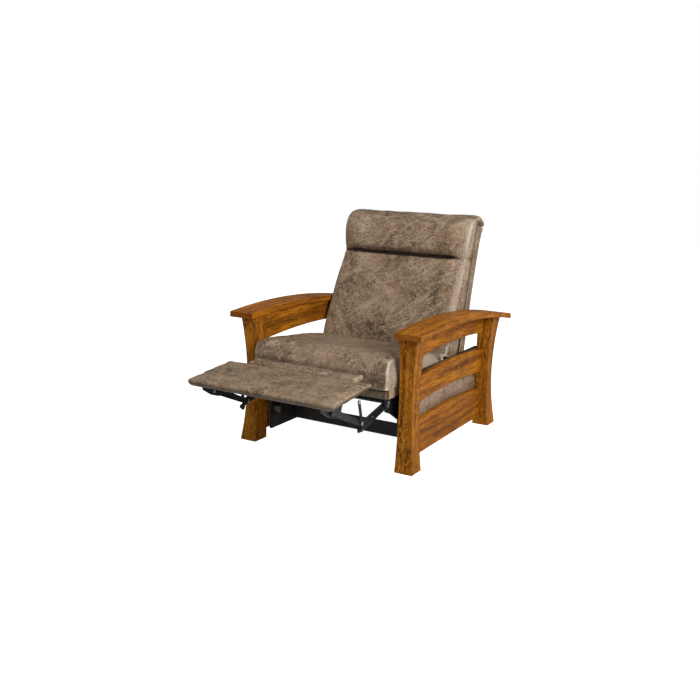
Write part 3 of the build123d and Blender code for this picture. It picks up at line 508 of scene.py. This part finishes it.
def smoothed(mesh, values, freedom, rounds):
    """Values averaged with those of the neighbours along edges, by each point's freedom."""
    ends = np.empty(len(mesh.edges) * 2, dtype=np.int64)
    mesh.edges.foreach_get("vertices", ends)
    ends = ends.reshape(-1, 2)
    count = np.bincount(ends.ravel(), minlength=len(mesh.vertices))
    result = values.copy()
    for _ in range(rounds):
        for axis in range(result.shape[1]):
            total = np.bincount(ends[:, 0], result[ends[:, 1], axis], len(count))
            total += np.bincount(ends[:, 1], result[ends[:, 0], axis], len(count))
            result[:, axis] += PULL * freedom * (total / count - result[:, axis])
    return result


# %% [markdown]
# Foam presses a leather cover tight from inside. A short cloth simulation with inner pressure and no
# gravity does the same: the free part of the cover swells while the held part stays on its frame. Only
# a share of the swelling is kept, so the cushion stays near its solid and off its neighbours.

# %% Pumping up a cover
CLOTH_PRESSURE, CLOTH_FRAMES, CLOTH_QUALITY = 4.0, 20, 4
CLOTH_CAP, HELD_BELOW, NO_LENGTH = 0.024, 0.5, 1e-9


def pump_up(piece, freedom, share):
    """Swells a cover with a short cloth simulation; share is how much of the swelling is kept."""
    start = points_of(piece.data)
    pins = piece.vertex_groups.new(name="held")
    held = np.flatnonzero(freedom < HELD_BELOW)
    pins.add(held.tolist(), 1.0, "REPLACE")
    cloth = piece.modifiers.new("stuffing", "CLOTH")
    cloth.settings.quality = CLOTH_QUALITY
    cloth.settings.vertex_group_mass = "held"
    cloth.settings.use_pressure = True
    cloth.settings.uniform_pressure_force = CLOTH_PRESSURE
    cloth.settings.effector_weights.gravity = 0
    cloth.point_cache.frame_start, cloth.point_cache.frame_end = 1, CLOTH_FRAMES
    for frame_number in range(1, CLOTH_FRAMES + 1):
        scene.frame_set(frame_number)
    settle(piece)
    piece.vertex_groups.clear()
    move = points_of(piece.data) - start
    length = np.linalg.norm(move, axis=1)
    move *= np.minimum(1, CLOTH_CAP / np.maximum(length, NO_LENGTH))[:, None] * share * freedom[:, None]
    print(piece.name, "swelled by up to mm:", round(1000 * np.linalg.norm(move, axis=1).max(), 1))
    place_points(piece.data, start + move)


# %% [markdown]
# One function now makes any cover. It fills the ends out, because rounding will draw them in. It
# remeshes in even cells, rounds, and tucks the surface in by what the foam will win back. Then it pumps
# the cover up and keeps it inside a little room round its start, least of all across the chair. One
# subdivision makes it fine.

# %% Making a cover
ROOM_SHARES = np.array((0.3, 1, 1))


def stuffed(
    name, sources, cell, rounds, freedom_of, filled_out, tuck=0.003, swell=0.5, room=0.004, finer=True,
):
    """A cushion remade in even cells, rounded and pumped up, in place of its solids."""
    piece = joined_copy(name, *sources)
    place_points(piece.data, filled_out(points_of(piece.data)))
    remesh = piece.modifiers.new("even_cells", "REMESH")
    remesh.mode, remesh.voxel_size = "VOXEL", cell
    settle(piece)
    mesh = piece.data
    points = points_of(mesh)
    low, high = points.min(axis=0), points.max(axis=0)
    freedom = freedom_of(points)
    points = smoothed(mesh, points, freedom, rounds)
    place_points(mesh, points)
    if swell:
        place_points(mesh, points - tuck * freedom[:, None] * read(mesh.vertices, "normal"))
        pump_up(piece, freedom, swell)
        mesh = piece.data
    place_points(mesh, np.clip(points_of(mesh), low - room * ROOM_SHARES, high + room * ROOM_SHARES))
    if finer:
        subdivision = piece.modifiers.new("finer", "SUBSURF")
        subdivision.levels = subdivision.render_levels = 1
        settle(piece)
    for face in piece.data.polygons:
        face.use_smooth = True
    piece.data.materials.clear()
    piece.data.materials.append(hide)
    return piece


def all_free(points):
    return np.ones(len(points))


# %% [markdown]
# No cushion is perfectly even. Ripples are a sum of a few slow waves, low enough to catch the light
# without showing as lumps. They and every seam are pressed in along the surface's own normals.

# %% Ripples
def ripples(points, size):
    """Low, irregular unevenness, the same each run."""
    x, y, z = points.T
    wave = np.sin(31 * x + 12 * z + 0.4) * np.sin(23 * z - 17 * y + 1.1) + 0.6 * np.sin(53 * x - 41 * z + 2.0)
    return size * (wave + 0.5 * np.sin(79 * y + 37 * x))


def press_in(piece, amounts):
    """Moves each point along its normal; positive is outwards."""
    mesh = piece.data
    place_points(mesh, points_of(mesh) + amounts[:, None] * read(mesh.vertices, "normal"))


# %% [markdown]
# Leather keeps the marks of its use. How far a point stands off the cover's own average says whether it
# is a ridge painted pale, partly wear and partly painted highlight, or a fold darkened with painted shade,
# and each cover may add marks of its own.
# A finished cover rides on its body in place of its solids, which are hidden.

# %% Marks
RIDGE_HEIGHT, FOLD_DEPTH = 0.0060, 0.0032
AVERAGE_ROUNDS, MARK_SHARE, MARK_RANGE = 60, 0.7, (0.25, 1.0)


def rub(piece, wear_and_highlight, painted_shade):
    """Writes the pale ridges, wear and painted highlight, and the painted shade in folds as attributes, with
    the piece's own marks added.
    """
    mesh = piece.data
    points, normals = points_of(mesh), read(mesh.vertices, "normal")
    average = smoothed(mesh, points, all_free(points), AVERAGE_ROUNDS)
    stand = ((points - average) * normals).sum(axis=1)
    for key, value, extra in (
        ("wear_and_highlight", stand / RIDGE_HEIGHT, wear_and_highlight),
        ("painted_shade", -stand / FOLD_DEPTH, painted_shade),
    ):
        marked = np.clip(MARK_SHARE * step_between(value, *MARK_RANGE) + extra, 0, 1)
        mesh.attributes.new(key, "FLOAT", "POINT").data.foreach_set("value", marked)


def finish_cover(piece, sources, body, wear_and_highlight=0.0, painted_shade=0.0):
    """Marks the cover and puts it in its solids' place on its body."""
    rub(piece, wear_and_highlight, painted_shade)
    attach(piece, body)
    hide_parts(*sources)
    print(piece.name, "faces:", len(piece.data.polygons))


# %% [markdown]
# The seat is one thick box cushion with a rolled front. It is held on its frame at the bottom and free
# above. Its end faces are painted pale as painted light, and the foot of its front is darkened with painted
# shade behind the footrest. Each pair of heights or places below is where a change starts and ends.

# %% Seat cover
SEAT_CELL, SEAT_ROUNDS, SEAT_RIPPLE = 0.0072, 4, 0.0009
SEAT_FREE, SEAT_WIDE, SEAT_CREST = (0.358, 0.372), (0.372, 0.400), (0.400, 0.450)
SEAT_END, SEAT_FRONT = (0.20, 0.33), (-0.26, -0.16)
SEAT_WIDENING, SEAT_END_LIFT, SEAT_END_REACH = 0.024, 0.009, 0.010
SEAT_END_FACE, SEAT_FOOT = (0.318, 0.330), (0.408, 0.440)
SEAT_END_PAINTED_LIGHT, SEAT_FOOT_SHADE = 0.50, 0.55


def seat_freedom(points):
    return step_between(points[:, 2], *SEAT_FREE)


def filled_seat(points):
    """The seat wider, and its front corners higher and farther forward."""
    filled = points.copy()
    near_end = step_between(np.abs(points[:, 0]), *SEAT_END)
    near_front = 1 - step_between(points[:, 1], *SEAT_FRONT)
    filled[:, 0] *= 1 + SEAT_WIDENING * step_between(points[:, 2], *SEAT_WIDE)
    filled[:, 2] += SEAT_END_LIFT * near_end * step_between(points[:, 2], *SEAT_CREST)
    filled[:, 1] -= SEAT_END_REACH * near_end * near_front
    return filled


SEAT_SOURCES = ["seat_cushion"]
seat = stuffed("seat_cover", SEAT_SOURCES, SEAT_CELL, SEAT_ROUNDS, seat_freedom, filled_seat)
seat_points = points_of(seat.data)
press_in(seat, ripples(seat_points, SEAT_RIPPLE) * seat_freedom(seat_points))
# The end faces are painted pale as painted light, and the foot of the front gets painted shade.
end_face = step_between(np.abs(seat_points[:, 0]), *SEAT_END_FACE)
shaded_foot = SEAT_FOOT_SHADE * (1 - step_between(seat_points[:, 2], *SEAT_FOOT)) * (1 - end_face)
finish_cover(seat, SEAT_SOURCES, "seat", wear_and_highlight=SEAT_END_PAINTED_LIGHT * end_face, painted_shade=shaded_foot)

# %% [markdown]
# The back is worked in its own leaning directions: how far back a point lies from the recline pivot's
# plane, and how high up the back it is.

# %% Places in the leaning back
FEET_FRONT = -0.253874
RECLINE_PIVOT, BACK_LEAN = (FEET_FRONT + 0.605, 0.330), radians(14)


def back_places(points):
    """Backward and upward places in the leaning back."""
    y, z = points[:, 1] - RECLINE_PIVOT[0], points[:, 2] - RECLINE_PIVOT[1]
    return y * cos(BACK_LEAN) - z * sin(BACK_LEAN), y * sin(BACK_LEAN) + z * cos(BACK_LEAN)


print("recline pivot m:", RECLINE_PIVOT, "lean in degrees:", round(degrees(BACK_LEAN), 1))

# %% [markdown]
# Back and headrest share one cover. Its front and its crest are free; its foot and its rear, which lie
# on the frame, are held. It is filled out most at its two ends, which become the ridges down each side.

# %% Back cover
BACK_CELL, BACK_ROUNDS, BACK_RIPPLE = 0.0085, 3, 0.0009
BACK_FACE_FREE, BACK_CREST_FREE, BACK_FOOT_HELD = (0.022, 0.040), (0.712, 0.726), (0.048, 0.060)
BACK_WIDE, BACK_END, BACK_FACE, BACK_TOP = (0.400, 0.430), (0.18, 0.335), (0.010, 0.040), (0.98, 1.02)
BACK_WIDENING, BACK_END_REACH, BACK_TOP_LIFT, BACK_FRONT_SIDE = 0.018, 0.026, 0.005, (0.020, 0.045)


def back_freedom(points):
    setback, rise = back_places(points)
    face = 1 - step_between(setback, *BACK_FACE_FREE)
    crest = step_between(rise, *BACK_CREST_FREE)
    return np.maximum(face, crest) * step_between(rise, *BACK_FOOT_HELD)


def filled_back(points):
    """The back wider above the arms, its side ridges farther forward and its top higher."""
    filled = points.copy()
    near_end = step_between(np.abs(points[:, 0]), *BACK_END)
    setback, _ = back_places(points)
    filled[:, 0] *= 1 + BACK_WIDENING * step_between(points[:, 2], *BACK_WIDE)
    forward = BACK_END_REACH * near_end * (1 - step_between(setback, *BACK_FACE))
    filled[:, 1] -= forward * cos(BACK_LEAN)
    filled[:, 2] += forward * sin(BACK_LEAN) + BACK_TOP_LIFT * step_between(points[:, 2], *BACK_TOP)
    return filled


BACK_SOURCES = ["back_cushion", "headrest_cushion"]
back = stuffed("back_cover", BACK_SOURCES, BACK_CELL, BACK_ROUNDS, back_freedom, filled_back)
back_points = points_of(back.data)
setback, rise = back_places(back_points)
across = np.abs(back_points[:, 0])
in_front = 1 - step_between(setback, *BACK_FRONT_SIDE)
print("back, highest point mm:", round(1000 * back_points[:, 2].max()))

# %% [markdown]
# One deep seam across the front parts the headrest from the back. Even cells and rounding blur it, so it
# is pressed in afterwards, as a narrow groove with a full lip above it and a small one below. It fades
# out towards the side ridges, and the cover puckers in a fan round each of its ends. In the photograph it
# runs farther out on the sitter's right than on the left, so each side has its own end.

# %% Headrest seam
SEAM_HEIGHT, SEAM_WIDTH, SEAM_DEPTH, SEAM_LEAST_SHARE = 0.516, 0.0068, 0.018, 0.10
SEAM_ENDS, SEAM_FADE = (0.272, 0.305), 0.035
UPPER_LIP, UPPER_LIP_PLACE, UPPER_LIP_WIDTH = 0.0060, 0.032, 0.020
LOWER_LIP, LOWER_LIP_PLACE, LOWER_LIP_WIDTH = 0.0022, -0.024, 0.016
PUCKER_HEIGHT, PUCKER_REACH, PUCKER_CLEAR = 0.0022, 0.045, (0.006, 0.03)
PUCKER_COUNT, PUCKER_PHASE = 7, 0.6

sitters_left = back_points[:, 0] > 0
seam_end = np.where(sitters_left, *SEAM_ENDS)
seam_share = 1 - step_between(across, seam_end - SEAM_FADE, seam_end + SEAM_FADE)
above = rise - SEAM_HEIGHT
depth_share = SEAM_LEAST_SHARE + (1 - SEAM_LEAST_SHARE) * seam_share
groove = -SEAM_DEPTH * depth_share * hump(above, 0, SEAM_WIDTH)
lip = UPPER_LIP * seam_share * hump(above, UPPER_LIP_PLACE, UPPER_LIP_WIDTH)
lip += LOWER_LIP * seam_share * hump(above, LOWER_LIP_PLACE, LOWER_LIP_WIDTH)
from_end = np.hypot(across - seam_end, above)
bearing = np.arctan2(above, across - seam_end)
fan = np.sin(PUCKER_COUNT * bearing + PUCKER_PHASE) * hump(from_end, 0, PUCKER_REACH)
puckers = PUCKER_HEIGHT * fan * step_between(from_end, *PUCKER_CLEAR)
uneven = ripples(back_points, BACK_RIPPLE) * back_freedom(back_points)
press_in(back, in_front * (groove + lip + puckers) + uneven)
print("seam depth mm:", round(-1000 * groove.min(), 1), "lip height mm:", round(1000 * lip.max(), 1))

# %% [markdown]
# The back's own marks follow. The stitch line is painted nearly black, as painted shade in its groove,
# with a soft painted shade under the headrest's overhang. The ridge down each side is painted pale, partly
# wear and partly painted highlight, more so on the sitter's left, and it stands farther out at the
# headrest. Behind the ridge the side band is darkened with painted shade.

# %% Marks on the back
STITCH_SHADE, STITCH_WIDTH = 0.85, 0.0042
OVERHANG_SHADE, OVERHANG_PLACE, OVERHANG_WIDTH, OVERHANG_START = 0.50, 0.012, 0.018, (-0.004, 0.004)
RIDGE_PLACE, RIDGE_STEP_OUT, RIDGE_STEP, RIDGE_WIDTH = 0.318, 0.014, (0.50, 0.62), 0.011
RIDGE_START, RIDGE_STOP, RIDGE_RUB_AND_HIGHLIGHT = (0.05, 0.15), (0.66, 0.72), (0.36, 0.18)
SEAM_UNRUBBED, SEAM_UNRUBBED_WIDTH = 1.2, 0.05
BAND_START, BAND_STOP, BAND_SHADE, BAND_UNRUBBED = (0.018, 0.036), (0.70, 0.72), 0.66, 0.6

seam_groove_shade = STITCH_SHADE * hump(above, 0, STITCH_WIDTH)
overhang = OVERHANG_SHADE * hump(above, OVERHANG_PLACE, OVERHANG_WIDTH) * step_between(above, *OVERHANG_START)
ridge_place = RIDGE_PLACE + RIDGE_STEP_OUT * step_between(rise, *RIDGE_STEP)
ridge = hump(across, ridge_place, RIDGE_WIDTH) * step_between(rise, *RIDGE_START)
# Stronger on the sitter's left, where the pale ridge is partly painted highlight.
ridge *= (1 - step_between(rise, *RIDGE_STOP)) * np.where(sitters_left, *RIDGE_RUB_AND_HIGHLIGHT)
ridge -= SEAM_UNRUBBED * seam_share * hump(above, 0, SEAM_UNRUBBED_WIDTH)
side_band = step_between(setback, *BAND_START) * (1 - step_between(rise, *BAND_STOP))
# The seam's groove, the headrest's overhang and the side band are darkened with painted shade.
painted_shade_mask = in_front * seam_share * np.maximum(seam_groove_shade, overhang) + BAND_SHADE * side_band
finish_cover(back, BACK_SOURCES, "back", wear_and_highlight=in_front * ridge - BAND_UNRUBBED * side_band, painted_shade=painted_shade_mask)

# %% [markdown]
# The outside of the back is leather drawn tight over a shaped panel, with no foam. It is only eased at
# its rear edges, and held where the cushion and the crest meet it.

# %% Outside back cover
SHELL_CELL, SHELL_ROUNDS, SHELL_FREEDOM = 0.0045, 3, 0.8
SHELL_REAR, SHELL_TOP = (0.060, 0.075), (0.660, 0.675)


def shell_freedom(points):
    setback, rise = back_places(points)
    return SHELL_FREEDOM * step_between(setback, *SHELL_REAR) * (1 - step_between(rise, *SHELL_TOP))


SHELL_SOURCES = ["outside_back"]
shell = stuffed(
    "outside_cover", SHELL_SOURCES, SHELL_CELL, SHELL_ROUNDS, shell_freedom, np.copy, swell=0, finer=False,
)
finish_cover(shell, SHELL_SOURCES, "back")

# %% [markdown]
# The footrest and its flap are thin pads wrapped round boards, so pad and board share one cover. They
# lie on a slope, so heights are measured square to it from the footrest's pivot. Their ends and edges
# are grown by a few millimetres first, because rounding takes that much off a thin pad.

# %% Shapes of the footrest and the flap
FOOTREST_TILT, FOOTREST_REACH, FOOTREST_HEIGHT = radians(4.8), 0.392, 0.342
PAD_END_GROWTH, PAD_EDGE_GROWTH, PAD_CROWN, PAD_DROP = 0.005, 0.003, 0.003, 0.001
PAD_END_LIFT, PAD_END_BAND, PAD_RISE_BAND, PAD_DROP_BAND = 0.006, 0.040, 0.006, 0.001


def footrest_rise(points):
    """Height over the tilted footrest's pivot line."""
    up, back_of_pivot = points[:, 2] - FOOTREST_HEIGHT, points[:, 1] - FEET_FRONT + FOOTREST_REACH
    return up * cos(FOOTREST_TILT) - back_of_pivot * sin(FOOTREST_TILT)


def filled_pad(points, middle, half_depth, half_width, board_top):
    """A pad grown by a few millimetres at its edges, its base let down round its board."""
    filled, x = points.copy(), np.abs(points[:, 0])
    rise = footrest_rise(points)
    padded_part = step_between(rise, board_top, board_top + PAD_RISE_BAND)
    under_part = 1 - step_between(rise, board_top, board_top + PAD_DROP_BAND)
    filled[:, 0] *= 1 + PAD_END_GROWTH / half_width
    filled[:, 1] += PAD_EDGE_GROWTH * np.clip((points[:, 1] - middle) / half_depth, -1, 1)
    filled[:, 2] += PAD_END_LIFT * step_between(x, half_width - PAD_END_BAND, half_width) * padded_part
    filled[:, 2] += PAD_CROWN * (1 - (x / half_width) ** 2) * padded_part - PAD_DROP * under_part
    return filled


def filled_footrest(points):
    return filled_pad(points, middle=-0.585, half_depth=0.148, half_width=0.342, board_top=0.0500)


def filled_flap(points):
    return filled_pad(points, middle=-0.400, half_depth=0.030, half_width=0.255, board_top=0.0475)


print("footrest tilt in degrees:", round(degrees(FOOTREST_TILT), 1))

# %% [markdown]
# The footrest's pad is thinner than the seat, so it swells less and is kept closer to its start. It shows
# fewer pale marks than the seat, and its underside is darkened with painted shade.

# %% Footrest cover
FOOTREST_CELL, FOOTREST_ROUNDS, FOOTREST_RIPPLE, FOOTREST_RUB = 0.0055, 2, 0.0007, -0.4
FOOTREST_TOP, FOOTREST_UNDER, UNDER_SHADE = (0.050, 0.062), (0.053, 0.066), 0.75

FOOTREST_SOURCES = ["footrest_pad", "footrest_board"]
footrest = stuffed(
    "footrest_cover", FOOTREST_SOURCES, FOOTREST_CELL, FOOTREST_ROUNDS, all_free, filled_footrest,
    tuck=0.001, swell=0.30, room=0.002,
)
footrest_points = points_of(footrest.data)
height = footrest_rise(footrest_points)
press_in(footrest, ripples(footrest_points, FOOTREST_RIPPLE) * step_between(height, *FOOTREST_TOP))
# The underside is darkened with painted shade.
underside = UNDER_SHADE * (1 - step_between(height, *FOOTREST_UNDER))
finish_cover(footrest, FOOTREST_SOURCES, "footrest", wear_and_highlight=FOOTREST_RUB, painted_shade=underside)

# %% [markdown]
# The flap behind the footrest is the same pad made narrow. It folds under between the links, so it is
# kept closest to its start.

# %% Flap cover
FLAP_CELL, FLAP_ROUNDS, FLAP_RUB = 0.0040, 2, -0.25

FLAP_SOURCES = ["flap_pad", "flap_board"]
flap = stuffed(
    "flap_cover", FLAP_SOURCES, FLAP_CELL, FLAP_ROUNDS, all_free, filled_flap,
    tuck=0.001, swell=0.25, room=0.001, finer=False,
)
finish_cover(flap, FLAP_SOURCES, "flap", wear_and_highlight=FLAP_RUB)

# %% [markdown]
# The links turn on black pins with bright zinc rivet heads. A head is a low cylinder with an eased rim,
# on the outer or inner face of its link, on both sides of the chair. The table gives each head's body,
# its place from the front of the front feet, where it starts and ends across the chair, and its radius.

# %% Rivet heads
RIM_ANGLE, RIM_EASE_SHARE, HEAD_SEGMENTS = 1, 0.4, 32
HEADS = (
    ("drive_rivet", "drive_links", (0.031, 0.291), 0.30405, 0.3066, 0.0085),
    ("control_rivet", "control_links", (0.0274, 0.2756), 0.30405, 0.3056, 0.0060),
    ("recline_rivet", "back", (0.605, 0.330), 0.30405, 0.3066, 0.0100),
    ("knee_rivet", "front_links", (-0.173, 0.248), 0.29405, 0.2948, 0.0080),
    ("prong_rivet", "drive_links", (-0.200, 0.344), 0.29405, 0.2949, 0.0084),
    ("footrest_rivet", "front_links", (-0.392, 0.342), 0.2730, 0.27495, 0.0072),
    ("top_rivet", "top_links", (-0.1529, 0.2442), 0.2780, 0.27995, 0.0070),
)


def rivet_heads(name, body, place, inner, outer, radius):
    """A head on each side of the chair; place is measured from the front of the front feet."""
    for side, sign in (("left", 1), ("right", -1)):
        head = bmesh.new()
        bmesh.ops.create_cone(
            head, cap_ends=True, segments=HEAD_SEGMENTS, radius1=radius, radius2=radius, depth=outer - inner,
            matrix=Matrix.Translation((sign * (inner + outer) / 2, FEET_FRONT + place[0], place[1]))
            @ Matrix.Rotation(radians(90), 4, "Y"),
        )
        rim = [edge for edge in head.edges if edge.calc_face_angle(0) > RIM_ANGLE]
        bmesh.ops.bevel(
            head, geom=rim, offset=(outer - inner) * RIM_EASE_SHARE, segments=2, profile=0.5,
            affect="EDGES", material=-1,
        )
        mesh = bpy.data.meshes.new(name + "_" + side)
        head.to_mesh(mesh)
        head.free()
        mesh.materials.append(zinc)
        piece = bpy.data.objects.new(mesh.name, mesh)
        scene.collection.objects.link(piece)
        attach(piece, body)


for name, body, place, inner, outer, radius in HEADS:
    rivet_heads(name, body, place, inner, outer, radius)

# %% [markdown]
# The studio has four soft lamps. The strongest stands to the right of the camera, because in the
# photograph the chair's near side and the near ends of its cushions are the brightest faces. A weak one
# fills the front, one hangs above, and one behind lights the rim of the back. Each call gives a lamp's
# place and aim, its width and its watts.

# %% Lamps
LAMP_AIM = (0.0, -0.1, 0.45)


def lamp(name, place, aim, size, watts):
    data = bpy.data.lights.new(name, "AREA")
    data.shape, data.size, data.energy = "SQUARE", size, watts
    light = bpy.data.objects.new(name, data)
    scene.collection.objects.link(light)
    direction = Vector(aim) - Vector(place)
    light.matrix_world = Matrix.Translation(place) @ direction.to_track_quat("-Z", "Y").to_matrix().to_4x4()


lamp("key_lamp", (3.7, -2.5, 2.5), LAMP_AIM, 1.6, 198)
lamp("fill_lamp", (-1.2, -4.2, 1.6), (-0.3, -0.3, 0.5), 2.2, 9)
lamp("top_lamp", (0.2, -0.4, 4.0), LAMP_AIM, 2.4, 42)
lamp("rim_lamp", (3.0, 1.8, 1.8), (0.2, 0.3, 0.7), 1.4, 30)

# %% [markdown]
# The photograph's background is pure white, yet white walls would flood the shadows under the arms. So
# the camera sees a white background, while the chair is lit by a dim one.

# %% White surroundings
SURROUND_LIGHT, WHITE = 0.22, (1.0, 1.0, 1.0, 1)

world = bpy.data.worlds.new("studio")
scene.world = world
world.use_nodes = True
world_nodes, world_links = world.node_tree.nodes, world.node_tree.links
background = world_nodes["Background"]
background.inputs["Strength"].default_value = SURROUND_LIGHT
white_background = world_nodes.new("ShaderNodeBackground")
for shader in (background, white_background):
    shader.inputs["Color"].default_value = WHITE
light_path = world_nodes.new("ShaderNodeLightPath")
chosen = world_nodes.new("ShaderNodeMixShader")
world_links.new(light_path.outputs["Is Camera Ray"], chosen.inputs[0])
world_links.new(background.outputs[0], chosen.inputs[1])
world_links.new(white_background.outputs[0], chosen.inputs[2])
world_links.new(chosen.outputs[0], world_nodes["World Output"].inputs[0])
print("surrounding light:", SURROUND_LIGHT)

# %% [markdown]
# The floor carries the chair and bounces a little light up into it. It glows for the camera alone, so
# it melts into the white background as in the photograph.

# %% Floor
FLOOR_HALF_WIDTH, FLOOR_GREY, FLOOR_GLOW = 12.0, 0.86, 0.98

floor_shape = bmesh.new()
bmesh.ops.create_grid(floor_shape, x_segments=1, y_segments=1, size=FLOOR_HALF_WIDTH)
floor_mesh = bpy.data.meshes.new("floor")
floor_shape.to_mesh(floor_mesh)
floor_shape.free()
floor = bpy.data.objects.new("floor", floor_mesh)
scene.collection.objects.link(floor)
floor_finish = Finish("floor_white", roughness=0.9)
floor_finish.colour((FLOOR_GREY, FLOOR_GREY, FLOOR_GREY))
floor_mesh.materials.append(floor_finish.material)
floor_path = floor_finish.add("ShaderNodeLightPath")
floor_finish.shader.inputs["Emission Color"].default_value = WHITE
floor_finish.feed(
    floor_finish.shader.inputs["Emission Strength"],
    floor_finish.math("MULTIPLY", floor_path.outputs["Is Camera Ray"], FLOOR_GLOW),
)
print("floor half width m:", FLOOR_HALF_WIDTH)
